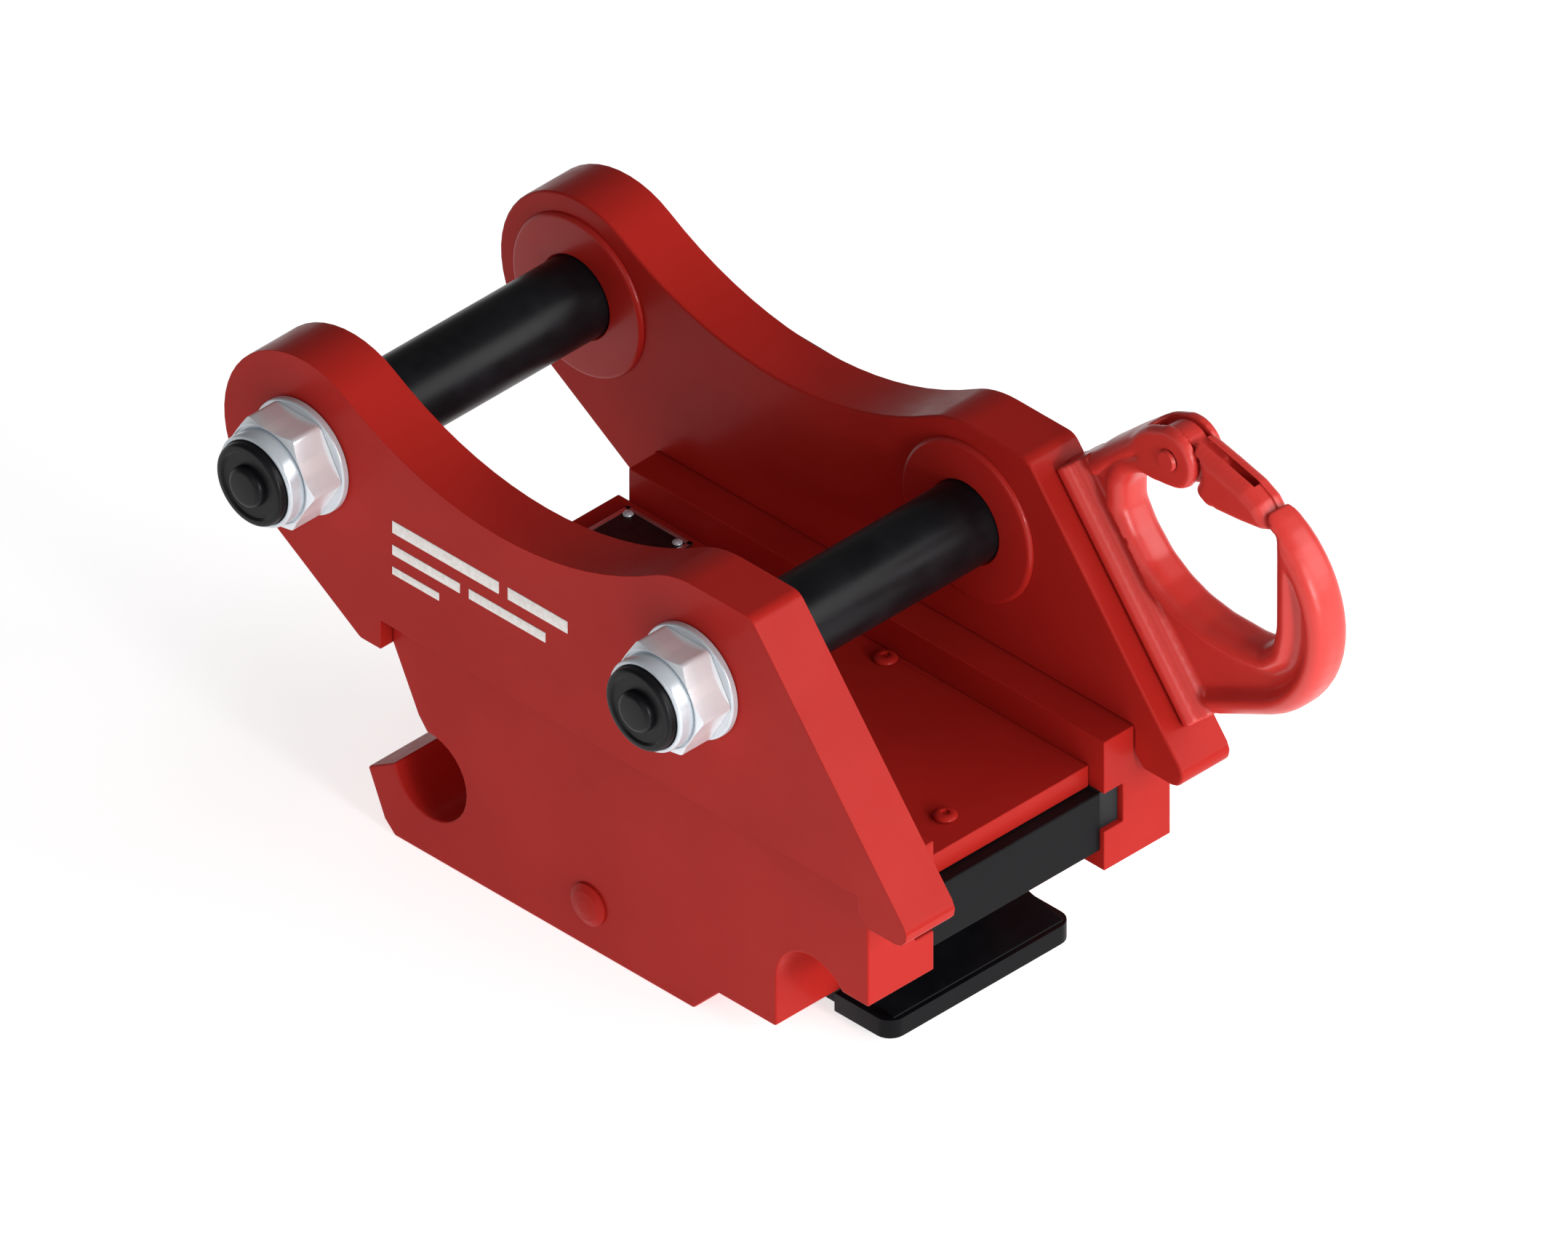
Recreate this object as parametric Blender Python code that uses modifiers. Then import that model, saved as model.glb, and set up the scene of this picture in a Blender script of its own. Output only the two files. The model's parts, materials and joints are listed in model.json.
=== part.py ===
"""Quick coupler for an excavator: welded frame, sliding lock wedge and load hook.

Every size below is in metres and counts from the stick pin: X runs along the coupler to the
link pin, Y runs across it from the outer face of the left side plate, and Z is up.  The
model's own origin lies on the ground below the middle of the coupler's box.
"""

from math import acos, asin, atan2, cos, degrees, pi, radians, sin, tan

import bmesh
import bpy
from mathutils import Matrix, Vector

GAP = 0.0003                      # clearance kept between pieces that touch

# Machine pins
PIN_RADIUS = 0.025
PIN_SPACING = 0.300
PIN_END_Y = -0.0435
PIN_HUB_RADIUS = 0.0125
PIN_HUB_HEIGHT = 0.004
PIN_HEAD_RADIUS = 0.036
PIN_HEAD_THICKNESS = 0.010
HEAD_FLAT_Z = -0.029
WASHER_RADIUS = 0.035
WASHER_THICKNESS = 0.005
NUT_RADIUS = 0.0345               # across the hexagon's corners
NUT_HEX_END = 0.028               # from the plate's face
NUT_COLLAR_END = 0.038
COLLAR_RADIUS = 0.028
KEEPER_LENGTH = 0.060
KEEPER_HEIGHT = 0.018
KEEPER_THICKNESS = 0.0085
KEEPER_HOLE_SPREAD = 0.020
KEEPER_BOLT_RADIUS = 0.0045

# Side plates
PLATE_THICKNESS = 0.0375
PLATE_GAP = 0.175                 # between the inner faces
EYE_RADIUS = 0.062
SADDLE_RADIUS = 0.227             # concave top edge between the eyes
HUMP_CORNER_RADIUS = 0.010
FRONT_EDGE_ANGLE = radians(38.66)  # direction of the slanted front edge's normal
FRONT_EDGE_OFFSET = 0.3076        # distance from the stick pin to that edge
TOE_RADIUS = 0.009
TOE_BOTTOM_Z = -0.100
TOE_BACK_X = 0.434
HEEL_BOTTOM_Z = -0.101
HEEL_FRONT_X = 0.0588
HEEL_RADIUS = 0.006
HEEL_EDGE_ANGLE = radians(237.5)  # direction of the lower rear edge's normal
SKIRT_Z = -0.082                  # the plate's outer skin laps over the rail to here
BOSS_RADIUS = 0.050
BOSS_THICKNESS = 0.003

# Claw rails
RAIL_WIDTH = 0.051
RAIL_INSET = 0.0085               # from the plate's outer face to the rail's
RAIL_TOP_Z = -0.075
GROUND_Z = -0.2286                # bottom of the rails, which stand on the ground
RAIL_REAR_X = 0.0594
RAIL_FRONT_X = 0.426
RAIL_STEP = 0.020                 # 45 degree step behind the notch
RAIL_STEP_X = 0.291
CLAW_X = 0.0882
CLAW_Z = -0.1749
NOTCH_X = 0.3829
NOTCH_Z = -0.1765
POCKET_RADIUS = 0.0277            # both tool pin pockets
NOSE_BOTTOM_Z = -0.1608
GROOVE_DEPTH = 0.0146
GROOVE_TOP_Z = -0.1096
GROOVE_BOTTOM_Z = -0.1348
GROOVE_BACK_X = 0.250

# Floor plate and cross wall
FLOOR_TOP_Z = -0.0956
FLOOR_THICKNESS = 0.0138
FLOOR_REAR_X = 0.052
FLOOR_FRONT_X = 0.4146
FLOOR_SCREW_SPOTS = ((0.266, 0.182), (0.394, 0.100))
WALL_BACK_X = 0.122
WALL_THICKNESS = 0.015
WALL_BOTTOM_Z = -0.215
NAME_PLATE_X = 0.0655
NAME_PLATE_LENGTH = 0.050
NAME_PLATE_WIDTH = 0.118
NAME_PLATE_THICKNESS = 0.0015

# Sliding wedge
WEDGE_FRONT_X = 0.423
WEDGE_TOP_Z = -0.1102
WEDGE_ARM_BOTTOM_Z = -0.1485
WEDGE_BOTTOM_Z = -0.2214
WEDGE_HEEL_X = 0.355
WEDGE_TIP_X = 0.3975
WEDGE_TIP_TOP_Z = -0.2095
WEDGE_TAPER_TOP_Z = -0.199
WEDGE_SIDE_GAP = 0.0005
RIB_DEPTH = 0.0141
TONGUE_LEFT_Y = 0.054             # the tongue also reaches a little way under the rails
TONGUE_BACK_X = 0.3545
TONGUE_CORNER_RADIUS = 0.010
ROD_PIN_X = 0.325
ROD_PIN_RADIUS = 0.005
STROKE = 0.042                    # from locked to open

# Hydraulic cylinder, along X
CYLINDER_Z = -0.199
BARREL_RADIUS = 0.027
BORE_RADIUS = 0.020
BARREL_BACK_X = 0.150
BARREL_FRONT_X = 0.245
END_CAP_THICKNESS = 0.010
GLAND_LENGTH = 0.015
WIPER_LENGTH = 0.002
ROD_RADIUS = 0.0125
PISTON_X = 0.223
PISTON_LENGTH = 0.020
TRUNNION_X = 0.211
TRUNNION_RADIUS = 0.010
TRUNNION_BOSS_RADIUS = 0.017
TRUNNION_HEAD_RADIUS = 0.013
TRUNNION_LEFT_Y = 0.090           # outer end of the barrel's left boss
TRUNNION_SOCKET = 0.010
PORT_XS = (0.180, 0.232)
BLOCK_BACK_X = 0.168
BLOCK_FRONT_X = 0.244
BLOCK_WIDTH = 0.040
BLOCK_BOTTOM_Z = -0.1680
BLOCK_TOP_Z = -0.142

# Lock springs beside the cylinder
SPRING_RADIUS = 0.012             # outer radius
SPRING_WIRE = 0.0035
SPRING_TURNS = 8
SPRING_Z = -0.160
SPRING_SPREAD = 0.045             # from the middle plane
GUIDE_RADIUS = 0.0065
GUIDE_LENGTH = 0.105

# Load hook on the slanted edge of the right side plate
HOOK_MIDDLE_Y = 0.243
HOOK_THICKNESS = 0.027
HOOK_CENTRE_X = 0.478
HOOK_CENTRE_Z = 0.029
HOOK_RADIUS = 0.074
FOOT_WIDTH = 0.034
FOOT_HEIGHT = 0.022
FOOT_LENGTH = 0.160
FOOT_TOP_ALONG = 0.178            # along the slanted edge, from the foot of its normal
LATCH_PIVOT_X = 0.436
LATCH_PIVOT_Z = 0.099
LATCH_EAR_RADIUS = 0.019
LATCH_SLOT = 0.0150
LATCH_PIN_RADIUS = 0.004
LATCH_WIDTH = 0.023
LATCH_TROUGH = 0.011              # width of the hollow in its back
LATCH_KNUCKLE = 0.008
LATCH_NOSE_X = 0.5115

WEDGE_BACK_X = BARREL_FRONT_X + GLAND_LENGTH + WIPER_LENGTH + STROKE + 0.004
HOOK_RIGHT_X = HOOK_CENTRE_X + HOOK_RADIUS
PLATES_WIDTH = 2 * PLATE_THICKNESS + PLATE_GAP
HEAD_FAR_Y = PLATES_WIDTH + GAP + PIN_HEAD_THICKNESS
NEAR_Y = PIN_END_Y - PIN_HUB_HEIGHT
MIDDLE_Y = PLATES_WIDTH / 2
CHANNEL_LEFT_Y = RAIL_INSET + RAIL_WIDTH
CHANNEL_RIGHT_Y = PLATES_WIDTH - CHANNEL_LEFT_Y
ORIGIN = Vector(((HOOK_RIGHT_X - EYE_RADIUS) / 2, (NEAR_Y + HEAD_FAR_Y) / 2, GROUND_Z))

X_AXIS = Vector((1, 0, 0))
Y_AXIS = Vector((0, 1, 0))
Z_AXIS = Vector((0, 0, 1))

SLANT_NORMAL = Vector((cos(FRONT_EDGE_ANGLE), 0, sin(FRONT_EDGE_ANGLE)))
SLANT_DOWN = Vector((sin(FRONT_EDGE_ANGLE), 0, -cos(FRONT_EDGE_ANGLE)))

MATERIALS = {
    "red_paint": ((0.28, 0.015, 0.012), 0.35, 0.0),
    "hook_red": ((0.42, 0.025, 0.02), 0.35, 0.0),
    "black_steel": ((0.02, 0.02, 0.022), 0.4, 0.2),
    "wedge_steel": ((0.035, 0.037, 0.042), 0.45, 0.3),
    "zinc": ((0.62, 0.65, 0.70), 0.25, 1.0),
    "chrome": ((0.80, 0.82, 0.85), 0.12, 1.0),
    "spring_steel": ((0.10, 0.10, 0.11), 0.35, 1.0),
    "seal": ((0.03, 0.03, 0.03), 0.7, 0.0),
    "plate_black": ((0.01, 0.01, 0.01), 0.3, 0.0),
}


# ---------------------------------------------------------------- scene and helpers

def clear_scene():
    for item in list(bpy.data.objects):
        bpy.data.objects.remove(item, do_unlink=True)


def make_collection(name):
    collection = bpy.data.collections.new(name)
    bpy.context.scene.collection.children.link(collection)
    return collection


def make_material(name):
    colour, roughness, metallic = MATERIALS[name]
    material = bpy.data.materials.new(name)
    material.use_nodes = True
    shader = material.node_tree.nodes["Principled BSDF"]
    shader.inputs["Base Color"].default_value = (*colour, 1)
    shader.inputs["Roughness"].default_value = roughness
    shader.inputs["Metallic"].default_value = metallic
    return material


clear_scene()
PARTS = make_collection("quick_coupler")
CUTTERS = make_collection("cutters")
FINISHES = {name: make_material(name) for name in MATERIALS}


def world(x, y, z):
    """A place counted from the stick pin, in the model's own frame."""
    return Vector((x, y, z)) - ORIGIN


def link(item, material=None, cutter=False):
    """Put an object in its collection and give it its material."""
    for collection in list(item.users_collection):
        collection.objects.unlink(item)
    (CUTTERS if cutter else PARTS).objects.link(item)
    if cutter:
        item.hide_render = True
        item.display_type = "WIRE"
    if material:
        item.data.materials.clear()
        item.data.materials.append(FINISHES[material])
    return item


def mesh_object(name, shape, place=(0, 0, 0)):
    """A new object from a bmesh, at a place in the model's frame."""
    mesh = bpy.data.meshes.new(name)
    bmesh.ops.recalc_face_normals(shape, faces=shape.faces)
    shape.to_mesh(mesh)
    shape.free()
    item = bpy.data.objects.new(name, mesh)
    item.location = place
    return item


def box(name, low, high):
    """A box between two corners that count from the stick pin."""
    low, high = world(*low), world(*high)
    shape = bmesh.new()
    bmesh.ops.create_cube(shape, size=1)
    size = high - low
    bmesh.ops.scale(shape, vec=size, verts=shape.verts)
    return mesh_object(name, shape, (low + high) / 2)


def cylinder(name, start, axis, length, radius, sides=40):
    """A cylinder from a start place along an axis."""
    shape = bmesh.new()
    bmesh.ops.create_cone(shape, cap_ends=True, segments=sides, radius1=radius, radius2=radius,
                          depth=length)
    turn = Z_AXIS.rotation_difference(axis).to_matrix().to_4x4()
    bmesh.ops.transform(shape, matrix=turn, verts=shape.verts)
    return mesh_object(name, shape, world(*start) + Vector(axis) * length / 2)


def turned(name, start, axis, profile, sides=40):
    """A turned solid from (distance along the axis, radius) pairs, closed on the axis.

    The profile starts and ends at radius zero and turns round the axis with a Screw modifier.
    """
    mesh = bpy.data.meshes.new(name)
    shape = bmesh.new()
    ring = [shape.verts.new((radius, 0, along)) for along, radius in reversed(profile)]
    for first, second in zip(ring, ring[1:]):
        shape.edges.new((first, second))
    shape.to_mesh(mesh)
    shape.free()
    item = bpy.data.objects.new(name, mesh)
    screw = item.modifiers.new("turn", "SCREW")
    screw.axis = "Z"
    screw.steps = sides
    screw.render_steps = sides
    screw.use_merge_vertices = True
    screw.merge_threshold = 0.00005
    item.rotation_mode = "QUATERNION"
    item.rotation_quaternion = Z_AXIS.rotation_difference(axis)
    item.location = world(*start)
    return item


def arc(centre, radius, start, end, steps=8):
    """Points on a round stretch, from one angle to another in degrees."""
    angles = [radians(start + (end - start) * i / steps) for i in range(steps + 1)]
    return [(centre[0] + radius * cos(a), centre[1] + radius * sin(a)) for a in angles]


def rounded(points, radii, steps=4):
    """A polygon with its corners rounded; a radius of 0 leaves a corner sharp."""
    result = []
    count = len(points)
    for i in range(count):
        here = Vector(points[i])
        radius = radii[i]
        if not radius:
            result.append(tuple(here))
            continue
        back = (Vector(points[i - 1]) - here).normalized()
        ahead = (Vector(points[(i + 1) % count]) - here).normalized()
        half = acos(max(-1, min(1, back.dot(ahead)))) / 2
        centre = here + (back + ahead).normalized() * radius / sin(half)
        first = here + back * radius / tan(half) - centre
        last = here + ahead * radius / tan(half) - centre
        sweep = first.angle_signed(last)
        for step in range(steps + 1):
            spoke = first.copy()
            spoke.rotate(Matrix.Rotation(-sweep * step / steps, 2))
            result.append(tuple(centre + spoke))
    return result


def extruded(name, outline, near_y, far_y, holes=()):
    """A flat XZ outline, filled as a 2D curve and extruded across the coupler."""
    curve = bpy.data.curves.new(name, "CURVE")
    curve.dimensions = "2D"
    curve.fill_mode = "BOTH"
    curve.extrude = (far_y - near_y) / 2
    for loop in (outline, *holes):
        spline = curve.splines.new("POLY")
        spline.points.add(len(loop) - 1)
        for point, (x, z) in zip(spline.points, loop):
            point.co = (x, z, 0, 1)
        spline.use_cyclic_u = True
    item = bpy.data.objects.new(name, curve)
    CUTTERS.objects.link(item)
    item.rotation_euler = (pi / 2, 0, 0)
    item.location = world(0, (near_y + far_y) / 2, 0)
    return as_mesh(item)


def as_mesh(item):
    """Turn a curve object into a welded mesh object in the same place."""
    bpy.context.view_layer.update()
    evaluated = item.evaluated_get(bpy.context.evaluated_depsgraph_get())
    mesh = bpy.data.meshes.new_from_object(evaluated)
    shape = bmesh.new()
    shape.from_mesh(mesh)
    bmesh.ops.remove_doubles(shape, verts=shape.verts, dist=0.00002)
    bmesh.ops.recalc_face_normals(shape, faces=shape.faces)
    shape.to_mesh(mesh)
    shape.free()
    name, place, curve = item.name, item.matrix_world.copy(), item.data
    bpy.data.objects.remove(item)
    bpy.data.curves.remove(curve)
    solid = bpy.data.objects.new(name, mesh)
    solid.matrix_world = place
    return solid


def combine(item, other, operation):
    """Cut an object with another one, or join the two, with a Boolean modifier."""
    link(other, cutter=True)
    change = item.modifiers.new(other.name, "BOOLEAN")
    change.operation = operation
    change.solver = "EXACT"
    change.object = other
    return item


def cut(item, *others):
    for other in others:
        combine(item, other, "DIFFERENCE")
    return item


def join(item, *others):
    for other in others:
        combine(item, other, "UNION")
    return item


def soften(item, width):
    """Chamfer the long edges of a forging."""
    bevel = item.modifiers.new("edges", "BEVEL")
    bevel.width = width
    bevel.segments = 1
    bevel.limit_method = "ANGLE"
    bevel.angle_limit = radians(50)
    bevel.use_clamp_overlap = True
    return item


def smooth(item, angle=35):
    item.data.shade_smooth()
    item.data.set_sharp_from_angle(angle=radians(angle))
    return item


# ---------------------------------------------------------------- frame

def slant_point(along, height):
    """A place on or above the slanted front edge."""
    spot = SLANT_NORMAL * (FRONT_EDGE_OFFSET + height) + SLANT_DOWN * along
    return (spot.x, spot.z)


def plate_outline():
    """The side plate, counter-clockwise, from the rear foot."""
    span = EYE_RADIUS + SADDLE_RADIUS
    middle_x = PIN_SPACING / 2
    saddle_z = (span ** 2 - middle_x ** 2) ** 0.5
    lean = degrees(atan2(saddle_z, middle_x))
    heel_tangent = degrees(HEEL_EDGE_ANGLE)
    heel_normal = Vector((cos(HEEL_EDGE_ANGLE), sin(HEEL_EDGE_ANGLE)))
    heel_x = (EYE_RADIUS - HEEL_BOTTOM_Z * heel_normal.y) / heel_normal.x
    hump_x = (FRONT_EDGE_OFFSET - EYE_RADIUS * SLANT_NORMAL.z) / SLANT_NORMAL.x
    toe_x = (FRONT_EDGE_OFFSET - TOE_BOTTOM_Z * SLANT_NORMAL.z) / SLANT_NORMAL.x
    corners = [
        tuple(heel_normal * EYE_RADIUS),
        (heel_x, HEEL_BOTTOM_Z),
        (HEEL_FRONT_X, HEEL_BOTTOM_Z),
        (HEEL_FRONT_X, SKIRT_Z),
        (RAIL_FRONT_X + 2 * GAP, SKIRT_Z),
        (RAIL_FRONT_X + 2 * GAP, TOE_BOTTOM_Z + 0.008),
        (TOE_BACK_X, TOE_BOTTOM_Z),
        (toe_x, TOE_BOTTOM_Z),
        (hump_x, EYE_RADIUS),
        (PIN_SPACING, EYE_RADIUS),
    ]
    radii = [0, HEEL_RADIUS, 0, 0, 0, 0, 0, TOE_RADIUS, HUMP_CORNER_RADIUS, 0]
    outline = rounded(corners, radii)
    outline += arc((PIN_SPACING, 0), EYE_RADIUS, 90, 180 - lean, 6)[1:]
    outline += arc((middle_x, saddle_z), SADDLE_RADIUS, -lean, lean - 180, 18)[1:]
    outline += arc((0, 0), EYE_RADIUS, lean, heel_tangent, 24)[1:-1]
    return outline


def side_plate(name, near_y, outer_is_near):
    """One side plate with its two pin eyes, rebated over its rail."""
    item = extruded(name, plate_outline(), near_y, near_y + PLATE_THICKNESS)
    low_y = RAIL_INSET - GAP if outer_is_near else near_y - 0.01
    high_y = near_y + PLATE_THICKNESS + 0.01 if outer_is_near else PLATES_WIDTH - RAIL_INSET + GAP
    cut(item, box(f"{name}_rebate", (HEEL_FRONT_X, low_y, SKIRT_Z - 0.03),
                  (RAIL_FRONT_X + 2 * GAP, high_y, RAIL_TOP_Z + GAP)))
    for number, x in enumerate((0, PIN_SPACING)):
        cut(item, cylinder(f"{name}_eye_{number}", (x, near_y - 0.01, 0), Y_AXIS,
                           PLATE_THICKNESS + 0.02, PIN_RADIUS + GAP))
    return smooth(link(item, "red_paint"))


def rail_outline():
    """One claw rail, counter-clockwise, from the ground at the front claw."""
    nose_reach = NOSE_BOTTOM_Z - NOTCH_Z
    nose_angle = degrees(asin(nose_reach / POCKET_RADIUS))
    lip_angle = -169
    outline = [
        (0.061, GROUND_Z),
        (RAIL_STEP_X, GROUND_Z),
        (RAIL_STEP_X + RAIL_STEP, GROUND_Z + RAIL_STEP),
        (NOTCH_X - POCKET_RADIUS, GROUND_Z + RAIL_STEP),
    ]
    outline += arc((NOTCH_X, NOTCH_Z), POCKET_RADIUS, 180, nose_angle, 14)
    outline += [
        (RAIL_FRONT_X, NOSE_BOTTOM_Z),
        (RAIL_FRONT_X, RAIL_TOP_Z),
        (RAIL_REAR_X, RAIL_TOP_Z),
        (RAIL_REAR_X, -0.100),
        (0.069, -0.119),
        (0.079, -0.139),
    ]
    outline += arc((CLAW_X, CLAW_Z), POCKET_RADIUS, 95, lip_angle, 22)
    outline += [
        (0.0404, -0.1926),
        (0.053, -0.221),
    ]
    return outline


def claw_rail(name, near_y, inner_y):
    """One rail with its fixed claw, its notch and the groove that guides the wedge."""
    item = extruded(name, rail_outline(), near_y, near_y + RAIL_WIDTH)
    side = 1 if inner_y > near_y else -1
    low = (GROOVE_BACK_X, min(inner_y - side * GROOVE_DEPTH, inner_y + side * 0.01), GROOVE_BOTTOM_Z)
    high = (RAIL_FRONT_X + 0.01, max(inner_y - side * GROOVE_DEPTH, inner_y + side * 0.01),
            GROOVE_TOP_Z)
    cut(item, box(f"{name}_groove", low, high))
    cut(item, cylinder(f"{name}_trunnion_hole", (TRUNNION_X, near_y - 0.01, CYLINDER_Z), Y_AXIS,
                       RAIL_WIDTH + 0.02, TRUNNION_RADIUS + GAP, 32))
    return smooth(link(item, "red_paint"))


def boss_ring(name, x, near_y):
    """A raised wear ring round a machine pin on the inner face of a side plate."""
    item = cylinder(name, (x, near_y, 0), Y_AXIS, BOSS_THICKNESS, BOSS_RADIUS)
    cut(item, cylinder(f"{name}_bore", (x, near_y - 0.01, 0), Y_AXIS, BOSS_THICKNESS + 0.02,
                       PIN_RADIUS + GAP))
    return smooth(link(item, "red_paint"))


def floor_plate():
    """The floor between the rails, with two screw holes."""
    item = box("floor_plate", (FLOOR_REAR_X, CHANNEL_LEFT_Y + GAP, FLOOR_TOP_Z - FLOOR_THICKNESS),
               (FLOOR_FRONT_X, CHANNEL_RIGHT_Y - GAP, FLOOR_TOP_Z))
    for number, (x, y) in enumerate(FLOOR_SCREW_SPOTS):
        cut(item, cylinder(f"floor_screw_hole_{number}", (x, y, FLOOR_TOP_Z + 0.01), -Z_AXIS,
                           0.04, 0.004 + GAP, 16))
    return smooth(link(item, "red_paint"))


def floor_screw(number, x, y):
    """One button-head screw in the floor."""
    item = turned(f"floor_screw_{number}", (x, y, FLOOR_TOP_Z), Z_AXIS, [
        (-0.008, 0),
        (-0.008, 0.004),
        (GAP, 0.004),
        (GAP, 0.007),
        (0.002, 0.0065),
        (0.0035, 0.004),
        (0.0038, 0),
    ], 20)
    return smooth(link(item, "red_paint"))


def cross_wall():
    """The wall under the floor that ties the rails and backs the lock springs."""
    item = box("cross_wall", (WALL_BACK_X, CHANNEL_LEFT_Y + GAP, WALL_BOTTOM_Z),
               (WALL_BACK_X + WALL_THICKNESS, CHANNEL_RIGHT_Y - GAP,
                FLOOR_TOP_Z - FLOOR_THICKNESS - GAP))
    return smooth(link(item, "red_paint"))


def name_plate():
    """A blank black plate near the rear edge of the floor."""
    base_z = FLOOR_TOP_Z + GAP
    low = (NAME_PLATE_X, MIDDLE_Y - NAME_PLATE_WIDTH / 2, base_z)
    high = (NAME_PLATE_X + NAME_PLATE_LENGTH, MIDDLE_Y + NAME_PLATE_WIDTH / 2,
            base_z + NAME_PLATE_THICKNESS)
    item = box("type_plate", low, high)
    return smooth(link(item, "plate_black"))


def rivet_spots():
    """The corners of the blank plate, where its rivets sit."""
    inset = 0.006
    return [(NAME_PLATE_X + dx, MIDDLE_Y + dy)
            for dx in (inset, NAME_PLATE_LENGTH - inset)
            for dy in (inset - NAME_PLATE_WIDTH / 2, NAME_PLATE_WIDTH / 2 - inset)]


def rivet(number, x, y):
    """One rivet head of the blank plate."""
    top_z = FLOOR_TOP_Z + GAP + NAME_PLATE_THICKNESS
    item = turned(f"type_plate_rivet_{number}", (x, y, top_z), Z_AXIS, [
        (GAP, 0),
        (GAP, 0.003),
        (0.0012, 0.0025),
        (0.0018, 0.0012),
        (0.002, 0),
    ], 16)
    return smooth(link(item, "zinc"))


# ---------------------------------------------------------------- machine pins

def machine_pin(name, x):
    """A pin with a flat-sided head on the right and a domed hub on its left end."""
    length = HEAD_FAR_Y - PIN_END_Y
    profile = [
        (0, 0),
        (0, PIN_HEAD_RADIUS - 0.0015),
        (0.0015, PIN_HEAD_RADIUS),
        (PIN_HEAD_THICKNESS, PIN_HEAD_RADIUS),
        (PIN_HEAD_THICKNESS, PIN_RADIUS),
        (length - 0.0015, PIN_RADIUS),
        (length, PIN_RADIUS - 0.0015),
        (length, PIN_HUB_RADIUS),
        (length + PIN_HUB_HEIGHT * 0.6, PIN_HUB_RADIUS),
        (length + PIN_HUB_HEIGHT, PIN_HUB_RADIUS - 0.002),
        (length + PIN_HUB_HEIGHT, 0),
    ]
    item = turned(name, (x, HEAD_FAR_Y, 0), -Y_AXIS, profile)
    cut(item, box(f"{name}_head_flat",
                  (x - 0.05, HEAD_FAR_Y - PIN_HEAD_THICKNESS - GAP / 2, -PIN_HEAD_RADIUS - 0.01),
                  (x + 0.05, HEAD_FAR_Y + 0.01, HEAD_FLAT_Z)))
    return smooth(link(item, "black_steel"))


def keeper_bolt_spots(x):
    middle_z = HEAD_FLAT_Z - GAP - KEEPER_HEIGHT / 2
    return [(x - KEEPER_HOLE_SPREAD, middle_z), (x + KEEPER_HOLE_SPREAD, middle_z)]


def pin_keeper(name, x):
    """A bar against the head's flat that stops the pin from turning."""
    top_z = HEAD_FLAT_Z - GAP
    item = box(name, (x - KEEPER_LENGTH / 2, PLATES_WIDTH + GAP, top_z - KEEPER_HEIGHT),
               (x + KEEPER_LENGTH / 2, PLATES_WIDTH + GAP + KEEPER_THICKNESS, top_z))
    for number, (bolt_x, bolt_z) in enumerate(keeper_bolt_spots(x)):
        cut(item, cylinder(f"{name}_hole_{number}", (bolt_x, PLATES_WIDTH - 0.01, bolt_z), Y_AXIS,
                           0.03, KEEPER_BOLT_RADIUS + GAP, 20))
    return smooth(link(item, "red_paint"))


def keeper_bolt(name, x, z):
    """One hexagon bolt of a keeper bar."""
    start_y = PLATES_WIDTH + 2 * GAP + KEEPER_THICKNESS
    item = cylinder(name, (x, start_y, z), Y_AXIS, HEAD_FAR_Y - start_y, 0.0075, 6)
    join(item, cylinder(f"{name}_shank", (x, PLATES_WIDTH + 2 * GAP, z), Y_AXIS,
                        KEEPER_THICKNESS + 0.0005, KEEPER_BOLT_RADIUS, 20))
    return smooth(link(item, "zinc"))


def pin_washer(name, x):
    """The thick washer between a side plate and the pin's nut."""
    item = cylinder(name, (x, -GAP, 0), -Y_AXIS, WASHER_THICKNESS - GAP, WASHER_RADIUS)
    cut(item, cylinder(f"{name}_bore", (x, 0.01, 0), -Y_AXIS, 0.03, PIN_RADIUS + GAP))
    return smooth(link(item, "zinc"))


def pin_nut(name, x):
    """A hexagon nut with chamfered corners and a round locking collar."""
    start = -WASHER_THICKNESS - GAP
    item = cylinder(name, (x, start, 0), -Y_AXIS, NUT_HEX_END - WASHER_THICKNESS, NUT_RADIUS, 6)
    chamfer = turned(f"{name}_chamfer", (x, start, 0), -Y_AXIS, [
        (-0.0005, 0),
        (-0.0005, NUT_RADIUS - 0.0025),
        (0.003, NUT_RADIUS + 0.0005),
        (NUT_HEX_END - WASHER_THICKNESS - 0.004, NUT_RADIUS + 0.0005),
        (NUT_HEX_END - WASHER_THICKNESS + 0.0005, NUT_RADIUS - 0.0045),
        (NUT_HEX_END - WASHER_THICKNESS + 0.0005, 0),
    ])
    combine(item, chamfer, "INTERSECT")
    collar = turned(f"{name}_collar", (x, start - 0.010, 0), -Y_AXIS, [
        (0, 0),
        (0, COLLAR_RADIUS),
        (NUT_COLLAR_END - WASHER_THICKNESS - 0.0115, COLLAR_RADIUS),
        (NUT_COLLAR_END - WASHER_THICKNESS - 0.0100, COLLAR_RADIUS - 0.0015),
        (NUT_COLLAR_END - WASHER_THICKNESS - 0.0100, 0),
    ])
    join(item, collar)
    cut(item, cylinder(f"{name}_bore", (x, 0.01, 0), -Y_AXIS, 0.06, PIN_RADIUS + GAP))
    return smooth(link(item, "zinc"), 25)


# ---------------------------------------------------------------- wedge and cylinder

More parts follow.
